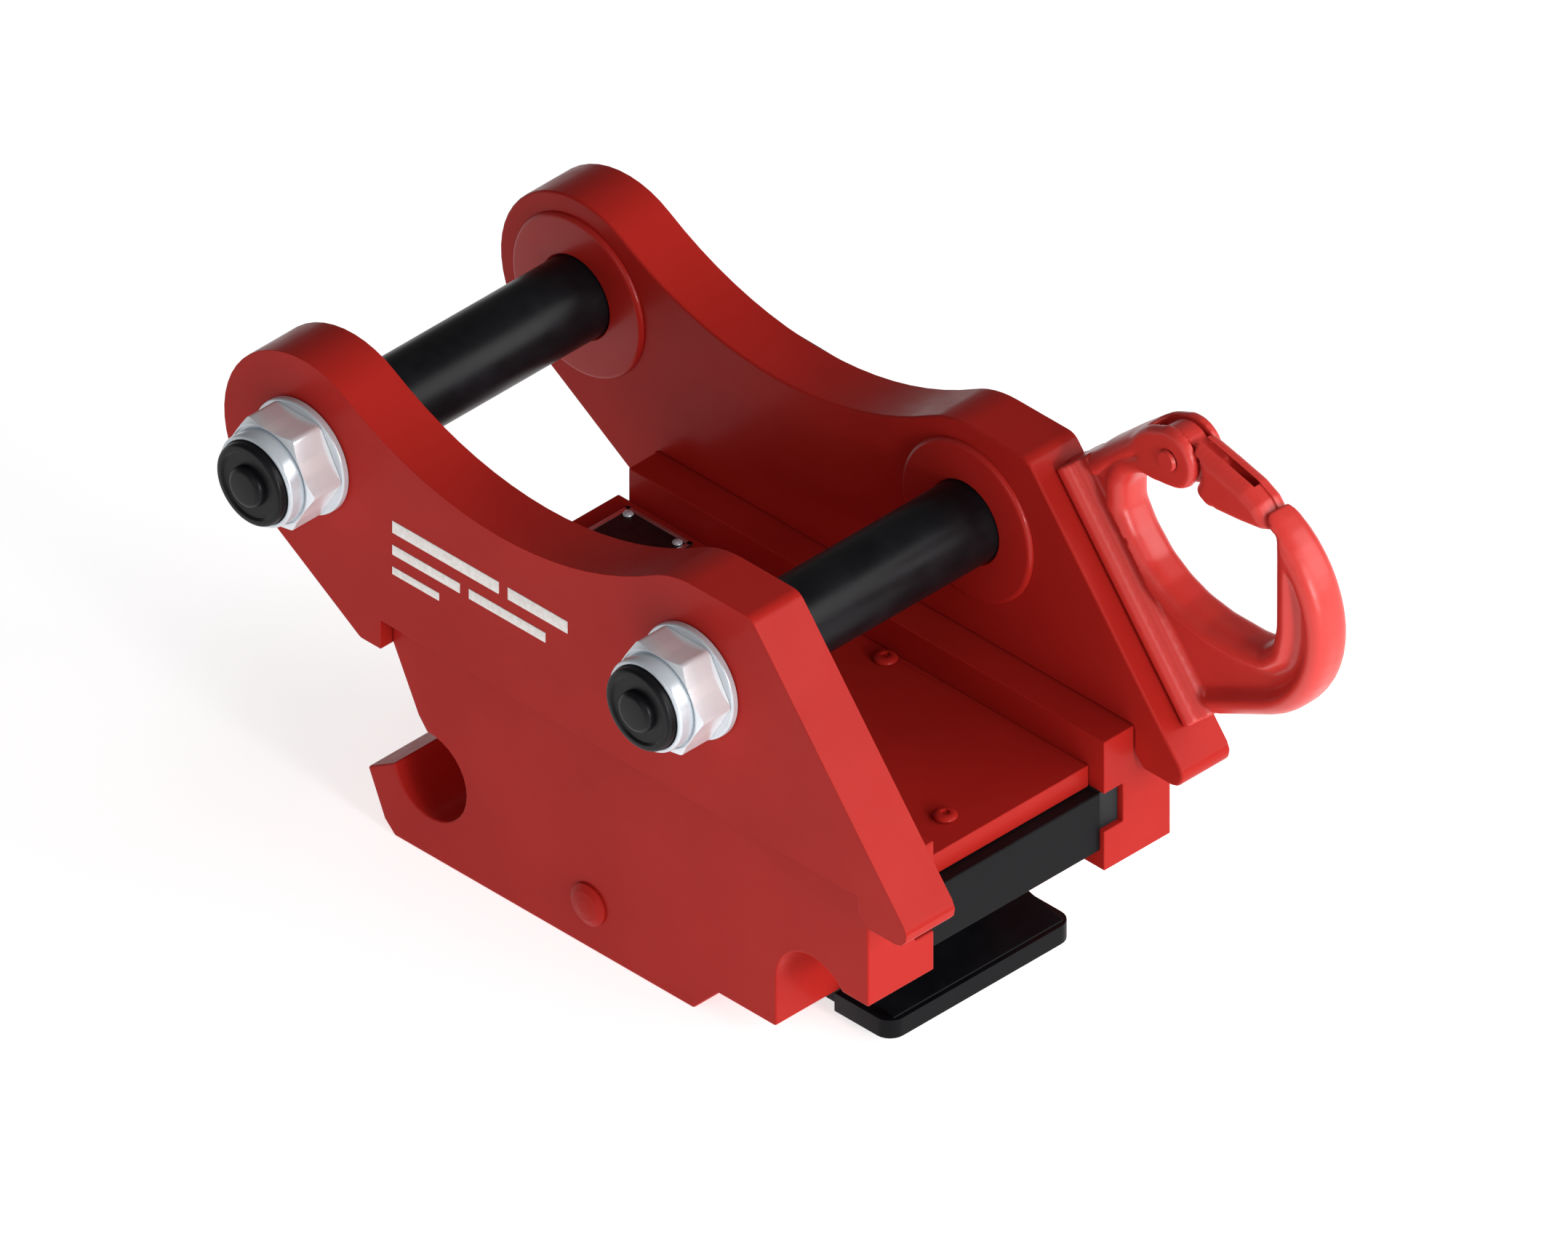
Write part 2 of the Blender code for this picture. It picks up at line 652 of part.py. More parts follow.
def wedge_outline():
    """The wedge seen from the side: arm over the tool pin, heel behind it, tongue below."""
    corners = [
        (WEDGE_BACK_X, WEDGE_BOTTOM_Z),
        (WEDGE_TIP_X - 0.003, WEDGE_BOTTOM_Z),
        (WEDGE_TIP_X - 0.003, WEDGE_TIP_TOP_Z + 0.0005),
        (WEDGE_HEEL_X, WEDGE_TAPER_TOP_Z),
        (WEDGE_HEEL_X, WEDGE_ARM_BOTTOM_Z),
        (WEDGE_FRONT_X, WEDGE_ARM_BOTTOM_Z),
        (WEDGE_FRONT_X, WEDGE_TOP_Z),
        (WEDGE_BACK_X, WEDGE_TOP_Z),
    ]
    return rounded(corners, [0.002, 0, 0.001, 0.006, 0.006, 0.001, 0.001, 0.002], 3)


def flat_tongue(name):
    """The tongue's plate, seen from above, with its two front corners rounded."""
    right_y = PLATES_WIDTH - TONGUE_LEFT_Y
    corners = [
        (TONGUE_BACK_X, TONGUE_LEFT_Y),
        (WEDGE_TIP_X, TONGUE_LEFT_Y),
        (WEDGE_TIP_X, right_y),
        (TONGUE_BACK_X, right_y),
    ]
    outline = rounded(corners, [0, TONGUE_CORNER_RADIUS, TONGUE_CORNER_RADIUS, 0], 6)
    thickness = WEDGE_TIP_TOP_Z - WEDGE_BOTTOM_Z
    curve = bpy.data.curves.new(name, "CURVE")
    curve.dimensions = "2D"
    curve.fill_mode = "BOTH"
    curve.extrude = thickness / 2
    spline = curve.splines.new("POLY")
    spline.points.add(len(outline) - 1)
    for point, (x, y) in zip(spline.points, outline):
        point.co = (x, y, 0, 1)
    spline.use_cyclic_u = True
    item = bpy.data.objects.new(name, curve)
    CUTTERS.objects.link(item)
    item.location = world(0, 0, WEDGE_BOTTOM_Z + thickness / 2)
    return as_mesh(item)


def wedge_slide():
    """The lock wedge, with a rib on each side that runs in the rails' grooves."""
    left_y = CHANNEL_LEFT_Y + WEDGE_SIDE_GAP
    right_y = CHANNEL_RIGHT_Y - WEDGE_SIDE_GAP
    item = extruded("wedge_slide", wedge_outline(), left_y, right_y)
    rib_low_z = GROOVE_BOTTOM_Z + 0.0004
    rib_high_z = GROOVE_TOP_Z - 0.0008
    join(item, box("wedge_ribs", (WEDGE_BACK_X + 0.004, left_y - RIB_DEPTH, rib_low_z),
                   (WEDGE_FRONT_X - 0.0005, right_y + RIB_DEPTH, rib_high_z)))
    tongue = flat_tongue("wedge_tongue")
    join(item, tongue)
    cut(item, cylinder("wedge_rod_hole", (WEDGE_BACK_X - 0.01, MIDDLE_Y, CYLINDER_Z), X_AXIS,
                       0.040, ROD_RADIUS + GAP, 36))
    cut(item, cylinder("wedge_rod_pin_hole", (ROD_PIN_X, MIDDLE_Y, WEDGE_BOTTOM_Z - 0.01), Z_AXIS,
                       0.060, ROD_PIN_RADIUS + GAP, 24))
    return smooth(link(item, "wedge_steel"))


def rod_pin():
    """The cross pin that keeps the rod in the wedge."""
    item = cylinder("rod_pin", (ROD_PIN_X, MIDDLE_Y, WEDGE_BOTTOM_Z + 0.001), Z_AXIS, 0.042,
                    ROD_PIN_RADIUS, 24)
    return smooth(link(item, "chrome"))


def cylinder_rod():
    """The rod, from the piston to its socket in the wedge."""
    start = PISTON_X + PISTON_LENGTH + GAP
    item = cylinder("cylinder_rod", (start, MIDDLE_Y, CYLINDER_Z), X_AXIS,
                    WEDGE_BACK_X + 0.0295 - start, ROD_RADIUS, 36)
    cut(item, cylinder("rod_pin_hole", (ROD_PIN_X, MIDDLE_Y, CYLINDER_Z - 0.03), Z_AXIS, 0.06,
                       ROD_PIN_RADIUS + GAP, 24))
    return smooth(link(item, "chrome"))


def piston():
    """The piston, with a groove for its seal."""
    low, high = 0.008, 0.012
    radius = BORE_RADIUS - 0.0004
    item = turned("piston", (PISTON_X, MIDDLE_Y, CYLINDER_Z), X_AXIS, [
        (0, 0),
        (0, radius),
        (low, radius),
        (low, radius - 0.003),
        (high, radius - 0.003),
        (high, radius),
        (PISTON_LENGTH, radius),
        (PISTON_LENGTH, 0),
    ], 36)
    return smooth(link(item, "zinc"))


def tube(name, start, axis, length, inner, outer, material, sides=36):
    """A short tube or ring with square edges."""
    item = cylinder(name, start, axis, length, outer, sides)
    start_cut = Vector(start) - Vector(axis) * 0.01
    cut(item, cylinder(f"{name}_bore", tuple(start_cut), axis, length + 0.02, inner, sides))
    return smooth(link(item, material))


def cylinder_barrel():
    """The barrel, with two trunnion bosses at its sides and two port bosses on top."""
    item = cylinder("cylinder_barrel", (BARREL_BACK_X, MIDDLE_Y, CYLINDER_Z), X_AXIS,
                    BARREL_FRONT_X - BARREL_BACK_X, BARREL_RADIUS, 48)
    join(item, cylinder("trunnion_bosses", (TRUNNION_X, TRUNNION_LEFT_Y, CYLINDER_Z), Y_AXIS,
                        2 * (MIDDLE_Y - TRUNNION_LEFT_Y), TRUNNION_BOSS_RADIUS, 36))
    for number, x in enumerate(PORT_XS):
        join(item, cylinder(f"port_boss_{number}", (x, MIDDLE_Y, CYLINDER_Z + 0.021), Z_AXIS,
                            BLOCK_BOTTOM_Z - GAP - CYLINDER_Z - 0.021, 0.008, 24))
    cut(item, cylinder("barrel_bore", (BARREL_BACK_X - 0.01, MIDDLE_Y, CYLINDER_Z), X_AXIS,
                       BARREL_FRONT_X - BARREL_BACK_X + 0.02, BORE_RADIUS, 48))
    for number, side in enumerate((-1, 1)):
        start_y = MIDDLE_Y + side * (MIDDLE_Y - TRUNNION_LEFT_Y + 0.01)
        cut(item, cylinder(f"trunnion_socket_{number}", (TRUNNION_X, start_y, CYLINDER_Z),
                           -side * Y_AXIS, 0.01 + TRUNNION_SOCKET, TRUNNION_RADIUS + GAP, 32))
    return smooth(link(item, "black_steel"))


def trunnion_pin(name, outer_y, inward):
    """A trunnion pin with a domed head, through a rail into the barrel's boss."""
    reach = TRUNNION_LEFT_Y - RAIL_INSET + TRUNNION_SOCKET - 0.0005
    item = turned(name, (TRUNNION_X, outer_y, CYLINDER_Z), inward, [
        (-0.0048, 0),
        (-0.0046, 0.004),
        (-0.0036, 0.009),
        (-0.0016, TRUNNION_HEAD_RADIUS),
        (-GAP, TRUNNION_HEAD_RADIUS),
        (-GAP, TRUNNION_RADIUS),
        (reach, TRUNNION_RADIUS),
        (reach, 0),
    ], 36)
    return smooth(link(item, "red_paint"))


def valve_block():
    """The pilot check valve block on the barrel."""
    item = box("check_valve_block", (BLOCK_BACK_X, MIDDLE_Y - BLOCK_WIDTH / 2, BLOCK_BOTTOM_Z),
               (BLOCK_FRONT_X, MIDDLE_Y + BLOCK_WIDTH / 2, BLOCK_TOP_Z))
    return smooth(link(item, "zinc"))


def port_fitting(name, y):
    """One hose fitting on the rear of the valve block."""
    middle_z = (BLOCK_BOTTOM_Z + BLOCK_TOP_Z) / 2
    item = turned(name, (BLOCK_BACK_X - GAP, y, middle_z), -X_AXIS, [
        (0, 0),
        (0, 0.0085),
        (0.008, 0.0085),
        (0.0085, 0.006),
        (0.018, 0.006),
        (0.019, 0.005),
        (0.019, 0),
    ], 24)
    return smooth(link(item, "zinc"))


def lock_spring(name, y):
    """A compression spring between the cross wall and the wedge."""
    start = WALL_BACK_X + WALL_THICKNESS + GAP
    length = WEDGE_BACK_X - GAP - start
    wire = SPRING_WIRE / 2
    middle = SPRING_RADIUS - wire
    steps = SPRING_TURNS * 10
    curve = bpy.data.curves.new(name, "CURVE")
    curve.dimensions = "3D"
    curve.bevel_depth = wire
    curve.bevel_resolution = 0
    curve.use_fill_caps = True
    spline = curve.splines.new("POLY")
    spline.points.add(steps)
    for number, point in enumerate(spline.points):
        share = number / steps
        angle = 2 * pi * SPRING_TURNS * share
        along = wire + (length - 2 * wire) * share
        point.co = (along, middle * cos(angle), middle * sin(angle), 1)
    item = bpy.data.objects.new(name, curve)
    CUTTERS.objects.link(item)
    item.location = world(start, y, SPRING_Z)
    solid = as_mesh(item)
    return smooth(link(solid, "spring_steel"), 60)


def spring_guide(name, y):
    """The rod that keeps a lock spring straight, screwed to the cross wall."""
    start = WALL_BACK_X + WALL_THICKNESS + GAP
    item = cylinder(name, (start, y, SPRING_Z), X_AXIS, GUIDE_LENGTH, GUIDE_RADIUS, 24)
    return smooth(link(item, "zinc"))


# ---------------------------------------------------------------- load hook

def hook_outline():
    """The hook's body, from the foot round the bowl to the tip and back inside."""
    turn = arc((HOOK_CENTRE_X, HOOK_CENTRE_Z), HOOK_RADIUS, -62, 68, 18)
    ear = arc((LATCH_PIVOT_X, LATCH_PIVOT_Z), LATCH_EAR_RADIUS, -80, 105, 10)
    outline = [slant_point(FOOT_TOP_ALONG + FOOT_LENGTH - 0.004, 0.006)]
    outline += turn
    outline += [
        (0.5040, 0.0985),
        (0.5145, 0.0860),
        (0.5145, 0.026),
        (0.5115, 0.012),
        (0.503, 0.0045),
        (0.488, 0.002),
        (0.463, 0.002),
        (0.445, 0.005),
        (0.431, 0.0105),
        (0.418, 0.019),
        (0.406, 0.032),
        (0.3985, 0.045),
        (0.3985, 0.060),
        (0.404, 0.071),
        (0.418, 0.0775),
    ]
    outline += ear
    outline += [
        (0.418, 0.1115),
        (0.402, 0.099),
        (0.382, 0.081),
        slant_point(FOOT_TOP_ALONG + 0.002, 0.006),
    ]
    return outline


def foot_outline():
    """The weld-on foot in profile along the slanted edge."""
    return [
        slant_point(FOOT_TOP_ALONG + FOOT_LENGTH, GAP),
        slant_point(FOOT_TOP_ALONG + FOOT_LENGTH - 0.002, FOOT_HEIGHT * 0.6),
        slant_point(FOOT_TOP_ALONG + FOOT_LENGTH - 0.010, FOOT_HEIGHT),
        slant_point(FOOT_TOP_ALONG + 0.010, FOOT_HEIGHT),
        slant_point(FOOT_TOP_ALONG + 0.002, FOOT_HEIGHT * 0.6),
        slant_point(FOOT_TOP_ALONG, GAP),
    ]


def load_hook():
    """The forged hook: bowl, tip, latch fork and foot in one piece."""
    low_y = HOOK_MIDDLE_Y - HOOK_THICKNESS / 2
    high_y = HOOK_MIDDLE_Y + HOOK_THICKNESS / 2
    item = extruded("load_hook", hook_outline(), low_y, high_y)
    soften(item, 0.005)
    foot = extruded("hook_foot", foot_outline(), HOOK_MIDDLE_Y - FOOT_WIDTH / 2,
                    HOOK_MIDDLE_Y + FOOT_WIDTH / 2)
    join(item, foot)
    cut(item, box("latch_slot", (LATCH_PIVOT_X - LATCH_EAR_RADIUS - 0.002,
                                 HOOK_MIDDLE_Y - LATCH_SLOT / 2, LATCH_PIVOT_Z - 0.025),
                  (LATCH_PIVOT_X + 0.03, HOOK_MIDDLE_Y + LATCH_SLOT / 2, LATCH_PIVOT_Z + 0.04)))
    cut(item, cylinder("latch_pin_hole", (LATCH_PIVOT_X, low_y - 0.01, LATCH_PIVOT_Z), Y_AXIS,
                       HOOK_THICKNESS + 0.02, LATCH_PIN_RADIUS + GAP, 20))
    return smooth(link(item, "hook_red"))


def hook_latch():
    """The safety latch: a knuckle in the fork and a bar that closes the throat."""
    pivot = (LATCH_PIVOT_X, LATCH_PIVOT_Z)
    low_y = HOOK_MIDDLE_Y + LATCH_SLOT / 2 - 0.0005 - LATCH_KNUCKLE
    high_y = HOOK_MIDDLE_Y + LATCH_SLOT / 2 - 0.0005
    bar = arc(pivot, LATCH_EAR_RADIUS + 0.0015, -45, 24, 8)
    bar = bar[::-1]
    bar += [
        (0.462, 0.0770),
        (0.487, 0.0800),
        (0.503, 0.0825),
        (LATCH_NOSE_X, 0.0860),
        (0.5015, 0.0985),
        (0.492, 0.1030),
        (0.472, 0.1050),
    ]
    arm = arc(pivot, LATCH_EAR_RADIUS - 0.0015, 40, 320, 20)
    arm += [(0.462, 0.0875), (0.462, 0.1030)]
    item = extruded("hook_latch", bar, HOOK_MIDDLE_Y - LATCH_WIDTH / 2,
                    HOOK_MIDDLE_Y + LATCH_WIDTH / 2)
    soften(item, 0.002)
    cut(item, box("latch_trough", (0.466, HOOK_MIDDLE_Y - LATCH_TROUGH / 2, 0.093),
                  (0.494, HOOK_MIDDLE_Y + LATCH_TROUGH / 2, 0.120)))
    join(item, extruded("latch_knuckle", arm, low_y, high_y))
    cut(item, cylinder("latch_knuckle_bore", (LATCH_PIVOT_X, low_y - 0.01, LATCH_PIVOT_Z), Y_AXIS,
                       0.04, LATCH_PIN_RADIUS + GAP, 20))
    return smooth(link(item, "hook_red"))


def latch_pin():
    """The latch's pin, with a flat head at each end."""
    half = HOOK_THICKNESS / 2 + GAP
    length = 2 * half
    item = turned("latch_pin", (LATCH_PIVOT_X, HOOK_MIDDLE_Y - half, LATCH_PIVOT_Z), Y_AXIS, [
        (-0.0018, 0),
        (-0.0018, 0.0055),
        (0, 0.0065),
        (0, LATCH_PIN_RADIUS),
        (length, LATCH_PIN_RADIUS),
        (length, 0.0065),
        (length + 0.0018, 0.0055),
        (length + 0.0018, 0),
    ], 24)
    return smooth(link(item, "zinc"))


def latch_spring():
    """The torsion spring's coil, beside the knuckle."""
    low_y = HOOK_MIDDLE_Y - LATCH_SLOT / 2 + 0.0006
    return tube("latch_spring", (LATCH_PIVOT_X, low_y, LATCH_PIVOT_Z), Y_AXIS, 0.005,
                LATCH_PIN_RADIUS + 0.0006, 0.0085, "spring_steel", 24)


# ---------------------------------------------------------------- assembly

def build():
    right_plate_y = PLATES_WIDTH - PLATE_THICKNESS
    side_plate("side_plate_left", 0, True)
    side_plate("side_plate_right", right_plate_y, False)
    claw_rail("claw_rail_left", RAIL_INSET, CHANNEL_LEFT_Y)
    claw_rail("claw_rail_right", CHANNEL_RIGHT_Y, CHANNEL_RIGHT_Y)
    floor_plate()
    for number, (x, y) in enumerate(FLOOR_SCREW_SPOTS, 1):
        floor_screw(number, x, y)
    cross_wall()
    name_plate()
    for number, (x, y) in enumerate(rivet_spots(), 1):
        rivet(number, x, y)

    for pin, x in (("stick", 0), ("link", PIN_SPACING)):
        machine_pin(f"{pin}_pin", x)
        pin_washer(f"{pin}_pin_washer", x)
        pin_nut(f"{pin}_pin_nut", x)
        pin_keeper(f"{pin}_pin_keeper", x)
        boss_ring(f"{pin}_boss_left", x, PLATE_THICKNESS + GAP)
        boss_ring(f"{pin}_boss_right", x, right_plate_y - GAP - BOSS_THICKNESS)
        for number, (bolt_x, bolt_z) in enumerate(keeper_bolt_spots(x), 1):
            keeper_bolt(f"{pin}_keeper_bolt_{number}", bolt_x, bolt_z)

    wedge_slide()
    cylinder_rod()
    rod_pin()
    piston()
    tube("piston_seal", (PISTON_X + 0.0085, MIDDLE_Y, CYLINDER_Z), X_AXIS, 0.003,
         BORE_RADIUS - 0.003, BORE_RADIUS - GAP, "seal")
    cylinder_barrel()
    tube("cylinder_gland", (BARREL_FRONT_X + GAP, MIDDLE_Y, CYLINDER_Z), X_AXIS, GLAND_LENGTH,
         ROD_RADIUS + GAP, BARREL_RADIUS, "zinc", 48)
    tube("rod_wiper", (BARREL_FRONT_X + GLAND_LENGTH + 2 * GAP, MIDDLE_Y, CYLINDER_Z), X_AXIS,
         WIPER_LENGTH, ROD_RADIUS + GAP, 0.018, "seal")
    end_cap = cylinder("cylinder_end_cap", (BARREL_BACK_X - GAP, MIDDLE_Y, CYLINDER_Z), -X_AXIS,
                       END_CAP_THICKNESS, BARREL_RADIUS, 48)
    smooth(link(end_cap, "black_steel"))
    trunnion_pin("trunnion_pin_left", RAIL_INSET, Y_AXIS)
    trunnion_pin("trunnion_pin_right", PLATES_WIDTH - RAIL_INSET, -Y_AXIS)
    valve_block()
    for side, offset in (("left", -0.010), ("right", 0.010)):
        port_fitting(f"port_fitting_{side}", MIDDLE_Y + offset)
    for side, offset in (("left", -SPRING_SPREAD), ("right", SPRING_SPREAD)):
        lock_spring(f"lock_spring_{side}", MIDDLE_Y + offset)
        spring_guide(f"spring_guide_{side}", MIDDLE_Y + offset)

    load_hook()
    hook_latch()
    latch_pin()
    latch_spring()


build()
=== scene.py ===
"""Looks of the quick coupler: bevelled steel, paint, springs, hook, marks, light and camera."""

import json
from math import cos, pi, radians, sin, sqrt

import bmesh
import bpy
import numpy as np
from mathutils import Matrix, Vector, kdtree


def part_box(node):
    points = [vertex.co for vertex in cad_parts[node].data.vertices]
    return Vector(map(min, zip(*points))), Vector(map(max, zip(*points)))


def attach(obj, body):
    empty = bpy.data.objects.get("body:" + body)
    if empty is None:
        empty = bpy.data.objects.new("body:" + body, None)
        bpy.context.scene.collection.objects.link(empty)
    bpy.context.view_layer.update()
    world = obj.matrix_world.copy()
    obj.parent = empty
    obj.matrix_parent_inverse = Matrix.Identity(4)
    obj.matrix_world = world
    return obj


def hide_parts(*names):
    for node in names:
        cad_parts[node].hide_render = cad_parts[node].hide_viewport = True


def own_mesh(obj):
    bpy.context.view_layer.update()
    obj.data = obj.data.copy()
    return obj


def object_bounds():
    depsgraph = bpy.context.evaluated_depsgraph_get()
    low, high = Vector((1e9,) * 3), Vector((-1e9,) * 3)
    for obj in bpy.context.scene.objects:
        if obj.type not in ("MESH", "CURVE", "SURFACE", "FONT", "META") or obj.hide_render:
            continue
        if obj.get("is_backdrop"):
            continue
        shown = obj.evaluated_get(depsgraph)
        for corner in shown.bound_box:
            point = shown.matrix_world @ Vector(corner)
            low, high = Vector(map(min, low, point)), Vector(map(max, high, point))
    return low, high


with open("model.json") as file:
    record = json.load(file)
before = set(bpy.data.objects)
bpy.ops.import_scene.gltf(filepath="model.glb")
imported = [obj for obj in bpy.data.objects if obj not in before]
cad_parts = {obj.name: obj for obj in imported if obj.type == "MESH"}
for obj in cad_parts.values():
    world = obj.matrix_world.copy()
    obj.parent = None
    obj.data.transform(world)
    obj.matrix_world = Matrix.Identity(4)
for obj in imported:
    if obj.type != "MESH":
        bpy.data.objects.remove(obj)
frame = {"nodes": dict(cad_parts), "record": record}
CAD_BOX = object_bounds()

Y_AXIS = Vector((0, 1, 0))
Z_AXIS = Vector((0, 0, 1))


# ---------------------------------------------------------------- places in the frame

def middle(node):
    low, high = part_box(node)
    return (low + high) / 2


PIN_EYE = middle("stick_boss_left")
# The stick pin's axis, on the left plate's outer face
START = Vector((PIN_EYE.x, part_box("side_plate_left")[0].y, PIN_EYE.z))


def at(x, y, z):
    """A place in metres from the stick pin's axis and the left plate's outer face."""
    return START + Vector((x, y, z))


# ---------------------------------------------------------------- materials

# Noise scales, in cycles per metre
DRIFT_SCALE = 9
PATCH_SCALE = 38
CLOUD_SCALE = 40
SMEAR_SCALE = 60
MOTTLE_SCALE = 300
PEEL_SCALE = 900
GRAIN_SCALE = 1400
# Bump distances, in metres
PEEL_DEPTH = 0.0003
GRAIN_DEPTH = 0.0002
# Pointiness at which a steel edge starts to lighten, as painted highlight and edge wear, and at
# which it is lightest
EDGE_FROM = 0.54
EDGE_TO = 0.66


def new_material(name):
    material = bpy.data.materials.new(name)
    material.use_nodes = True
    tree = material.node_tree
    return material, tree, tree.nodes["Principled BSDF"]


def add(tree, kind, **values):
    """A shader node with its sockets or properties set."""
    node = tree.nodes.new(kind)
    for key, value in values.items():
        if key in node.inputs:
            node.inputs[key].default_value = value
        else:
            setattr(node, key, value)
    return node


def object_noise(tree, scale, detail=4.0, roughness=0.5):
    place = tree.nodes.get("place") or add(tree, "ShaderNodeTexCoord", name="place")
    texture = add(tree, "ShaderNodeTexNoise", noise_dimensions="3D")
    texture.inputs["Scale"].default_value = scale
    texture.inputs["Detail"].default_value = detail
    texture.inputs["Roughness"].default_value = roughness
    tree.links.new(place.outputs["Object"], texture.inputs["Vector"])
    return texture.outputs["Fac"]


def ramp(tree, value, stops):
    """A colour or grey ramp over a value between 0 and 1."""
    node = add(tree, "ShaderNodeValToRGB")
    band = node.color_ramp
    while len(band.elements) < len(stops):
        band.elements.new(0.5)
    for element, (place, colour) in zip(band.elements, stops):
        element.position = place
        element.color = (*colour, 1) if len(colour) == 3 else colour
    tree.links.new(value, node.inputs["Fac"])
    return node.outputs["Color"]


def grey(level):
    return (level, level, level)


def bump(tree, shader, height, strength, distance):
    node = add(tree, "ShaderNodeBump")
    node.inputs["Strength"].default_value = strength
    node.inputs["Distance"].default_value = distance
    tree.links.new(height, node.inputs["Height"])
    tree.links.new(node.outputs["Normal"], shader.inputs["Normal"])


def mix_colour(tree, share, first, second):
    """A blend of two colours, each of them a socket or plain numbers."""
    node = add(tree, "ShaderNodeMix", data_type="RGBA")
    for socket, value in (("Factor", share), ("A", first), ("B", second)):
        slot = next(s for s in node.inputs if s.name == socket and s.enabled)
        if isinstance(value, bpy.types.NodeSocket):
            tree.links.new(value, slot)
        else:
            slot.default_value = value
    return next(s for s in node.outputs if s.enabled)


def edge_highlight_and_wear_share(tree):
    """Near 1 on convex edges, from the mesh's pointiness; it places the painted edge highlight
    and edge wear.
    """
    geometry = add(tree, "ShaderNodeNewGeometry")
    return ramp(tree, geometry.outputs["Pointiness"], [(EDGE_FROM, grey(0)), (EDGE_TO, grey(1))])


def vary_roughness(tree, shader, value, first, last):
    """Roughness that follows a value, between two (value, roughness) stops."""
    stops = [(place, grey(level)) for place, level in (first, last)]
    tree.links.new(ramp(tree, value, stops), shader.inputs["Roughness"])


def lightened(colour, gain, lift):
    return tuple(min(1, part * gain + lift) for part in colour)


def paint(name, deep, body, pale, specular, coat, coat_roughness=0.12):
    """Enamel: slow colour drift, darker patches, smears and fine orange peel."""
    material, tree, shader = new_material(name)
    drift = object_noise(tree, DRIFT_SCALE, 3, 0.55)
    tint = ramp(tree, drift, [(0.3, deep), (0.5, body), (0.72, pale)])
    patches = object_noise(tree, PATCH_SCALE, 6, 0.65)
    share = ramp(tree, patches, [(0.60, grey(0)), (0.78, grey(0.30))])
    tree.links.new(mix_colour(tree, share, tint, (*deep, 1)), shader.inputs["Base Color"])
    smear = object_noise(tree, SMEAR_SCALE, 5, 0.6)
    vary_roughness(tree, shader, smear, (0.35, 0.30), (0.7, 0.42))
    bump(tree, shader, object_noise(tree, PEEL_SCALE, 2, 0.5), 0.10, PEEL_DEPTH)
    shader.inputs["Specular IOR Level"].default_value = specular
    shader.inputs["Coat Weight"].default_value = coat
    shader.inputs["Coat Roughness"].default_value = coat_roughness
    return material


def steel(name, dark, light, roughness, metallic, stretch=(1, 1, 1), depth=0.12, specular=0.5):
    """Machined or plated steel: fine grain, stretched along the tool marks, with convex edges
    lightened as painted highlight and edge wear.
    """
    material, tree, shader = new_material(name)
    place = add(tree, "ShaderNodeTexCoord")
    mapping = add(tree, "ShaderNodeMapping")
    mapping.inputs["Scale"].default_value = stretch
    tree.links.new(place.outputs["Object"], mapping.inputs["Vector"])
    texture = add(tree, "ShaderNodeTexNoise")
    texture.inputs["Scale"].default_value = GRAIN_SCALE
    texture.inputs["Detail"].default_value = 3
    tree.links.new(mapping.outputs["Vector"], texture.inputs["Vector"])
    cloud = object_noise(tree, CLOUD_SCALE, 4, 0.6)
    tint = ramp(tree, cloud, [(0.3, dark), (0.7, light)])
    # Lighter colour on convex edges: a painted highlight, together with edge wear
    edge_highlight_and_wear = (*lightened(light, 1.6, 0.02), 1)
    tree.links.new(mix_colour(tree, edge_highlight_and_wear_share(tree), tint, edge_highlight_and_wear), shader.inputs["Base Color"])
    vary_roughness(tree, shader, cloud, (0.25, roughness * 0.8), (0.75, roughness * 1.2))
    shader.inputs["Metallic"].default_value = metallic
    shader.inputs["Specular IOR Level"].default_value = specular
    bump(tree, shader, texture.outputs["Fac"], depth, GRAIN_DEPTH)
    return material


def flat_enamel(name, colour, roughness):
    """Printed or stove enamel with a faint mottle."""
    material, tree, shader = new_material(name)
    mottle = object_noise(tree, MOTTLE_SCALE, 3, 0.6)
    pale = lightened(colour, 1.25, 0.004)
    tree.links.new(ramp(tree, mottle, [(0.35, colour), (0.7, pale)]), shader.inputs["Base Color"])
    vary_roughness(tree, shader, mottle, (0.3, roughness * 0.85), (0.7, roughness * 1.15))
    bump(tree, shader, mottle, 0.05, GRAIN_DEPTH)
    return material


BODY_REDS = ((0.385, 0.0155, 0.0115), (0.415, 0.0175, 0.0130), (0.445, 0.0200, 0.0150))
HOOK_REDS = ((0.58, 0.032, 0.025), (0.62, 0.036, 0.028), (0.66, 0.040, 0.031))
RED = paint("red_paint", *BODY_REDS, specular=0.06, coat=0.05)
RING_RED = paint("ring_paint", *BODY_REDS, specular=0.10, coat=0.22, coat_roughness=0.16)
HOOK_RED = paint("hook_paint", *HOOK_REDS, specular=0.30, coat=0.30, coat_roughness=0.36)
BLACK_STEEL = steel("black_steel", (0.004, 0.004, 0.005), (0.009, 0.009, 0.011), 0.34, 0.0,
                    stretch=(1, 0.05, 1), specular=0.16)
WEDGE_STEEL = steel("wedge_steel", (0.003, 0.003, 0.004), (0.005, 0.0055, 0.0065), 0.40, 0.0,
                    stretch=(0.06, 1, 1), specular=0.08)
ZINC = steel("zinc_steel", (0.60, 0.65, 0.70), (0.71, 0.76, 0.81), 0.24, 0.30)
CHROME = steel("chrome_rod", (0.72, 0.74, 0.78), (0.80, 0.82, 0.85), 0.10, 1.0,
               stretch=(0.05, 1, 1), depth=0.04)
SPRING = steel("spring_steel", (0.08, 0.08, 0.085), (0.14, 0.14, 0.15), 0.35, 1.0)
SEAL = flat_enamel("seal_rubber", (0.02, 0.02, 0.02), 0.6)
PLATE_BLACK = flat_enamel("plate_black", (0.006, 0.006, 0.007), 0.30)
PLATE_EDGE = steel("plate_edge", (0.45, 0.46, 0.48), (0.55, 0.56, 0.58), 0.35, 1.0)
WHITE_MARK = flat_enamel("white_mark", (0.85, 0.78, 0.75), 0.4)

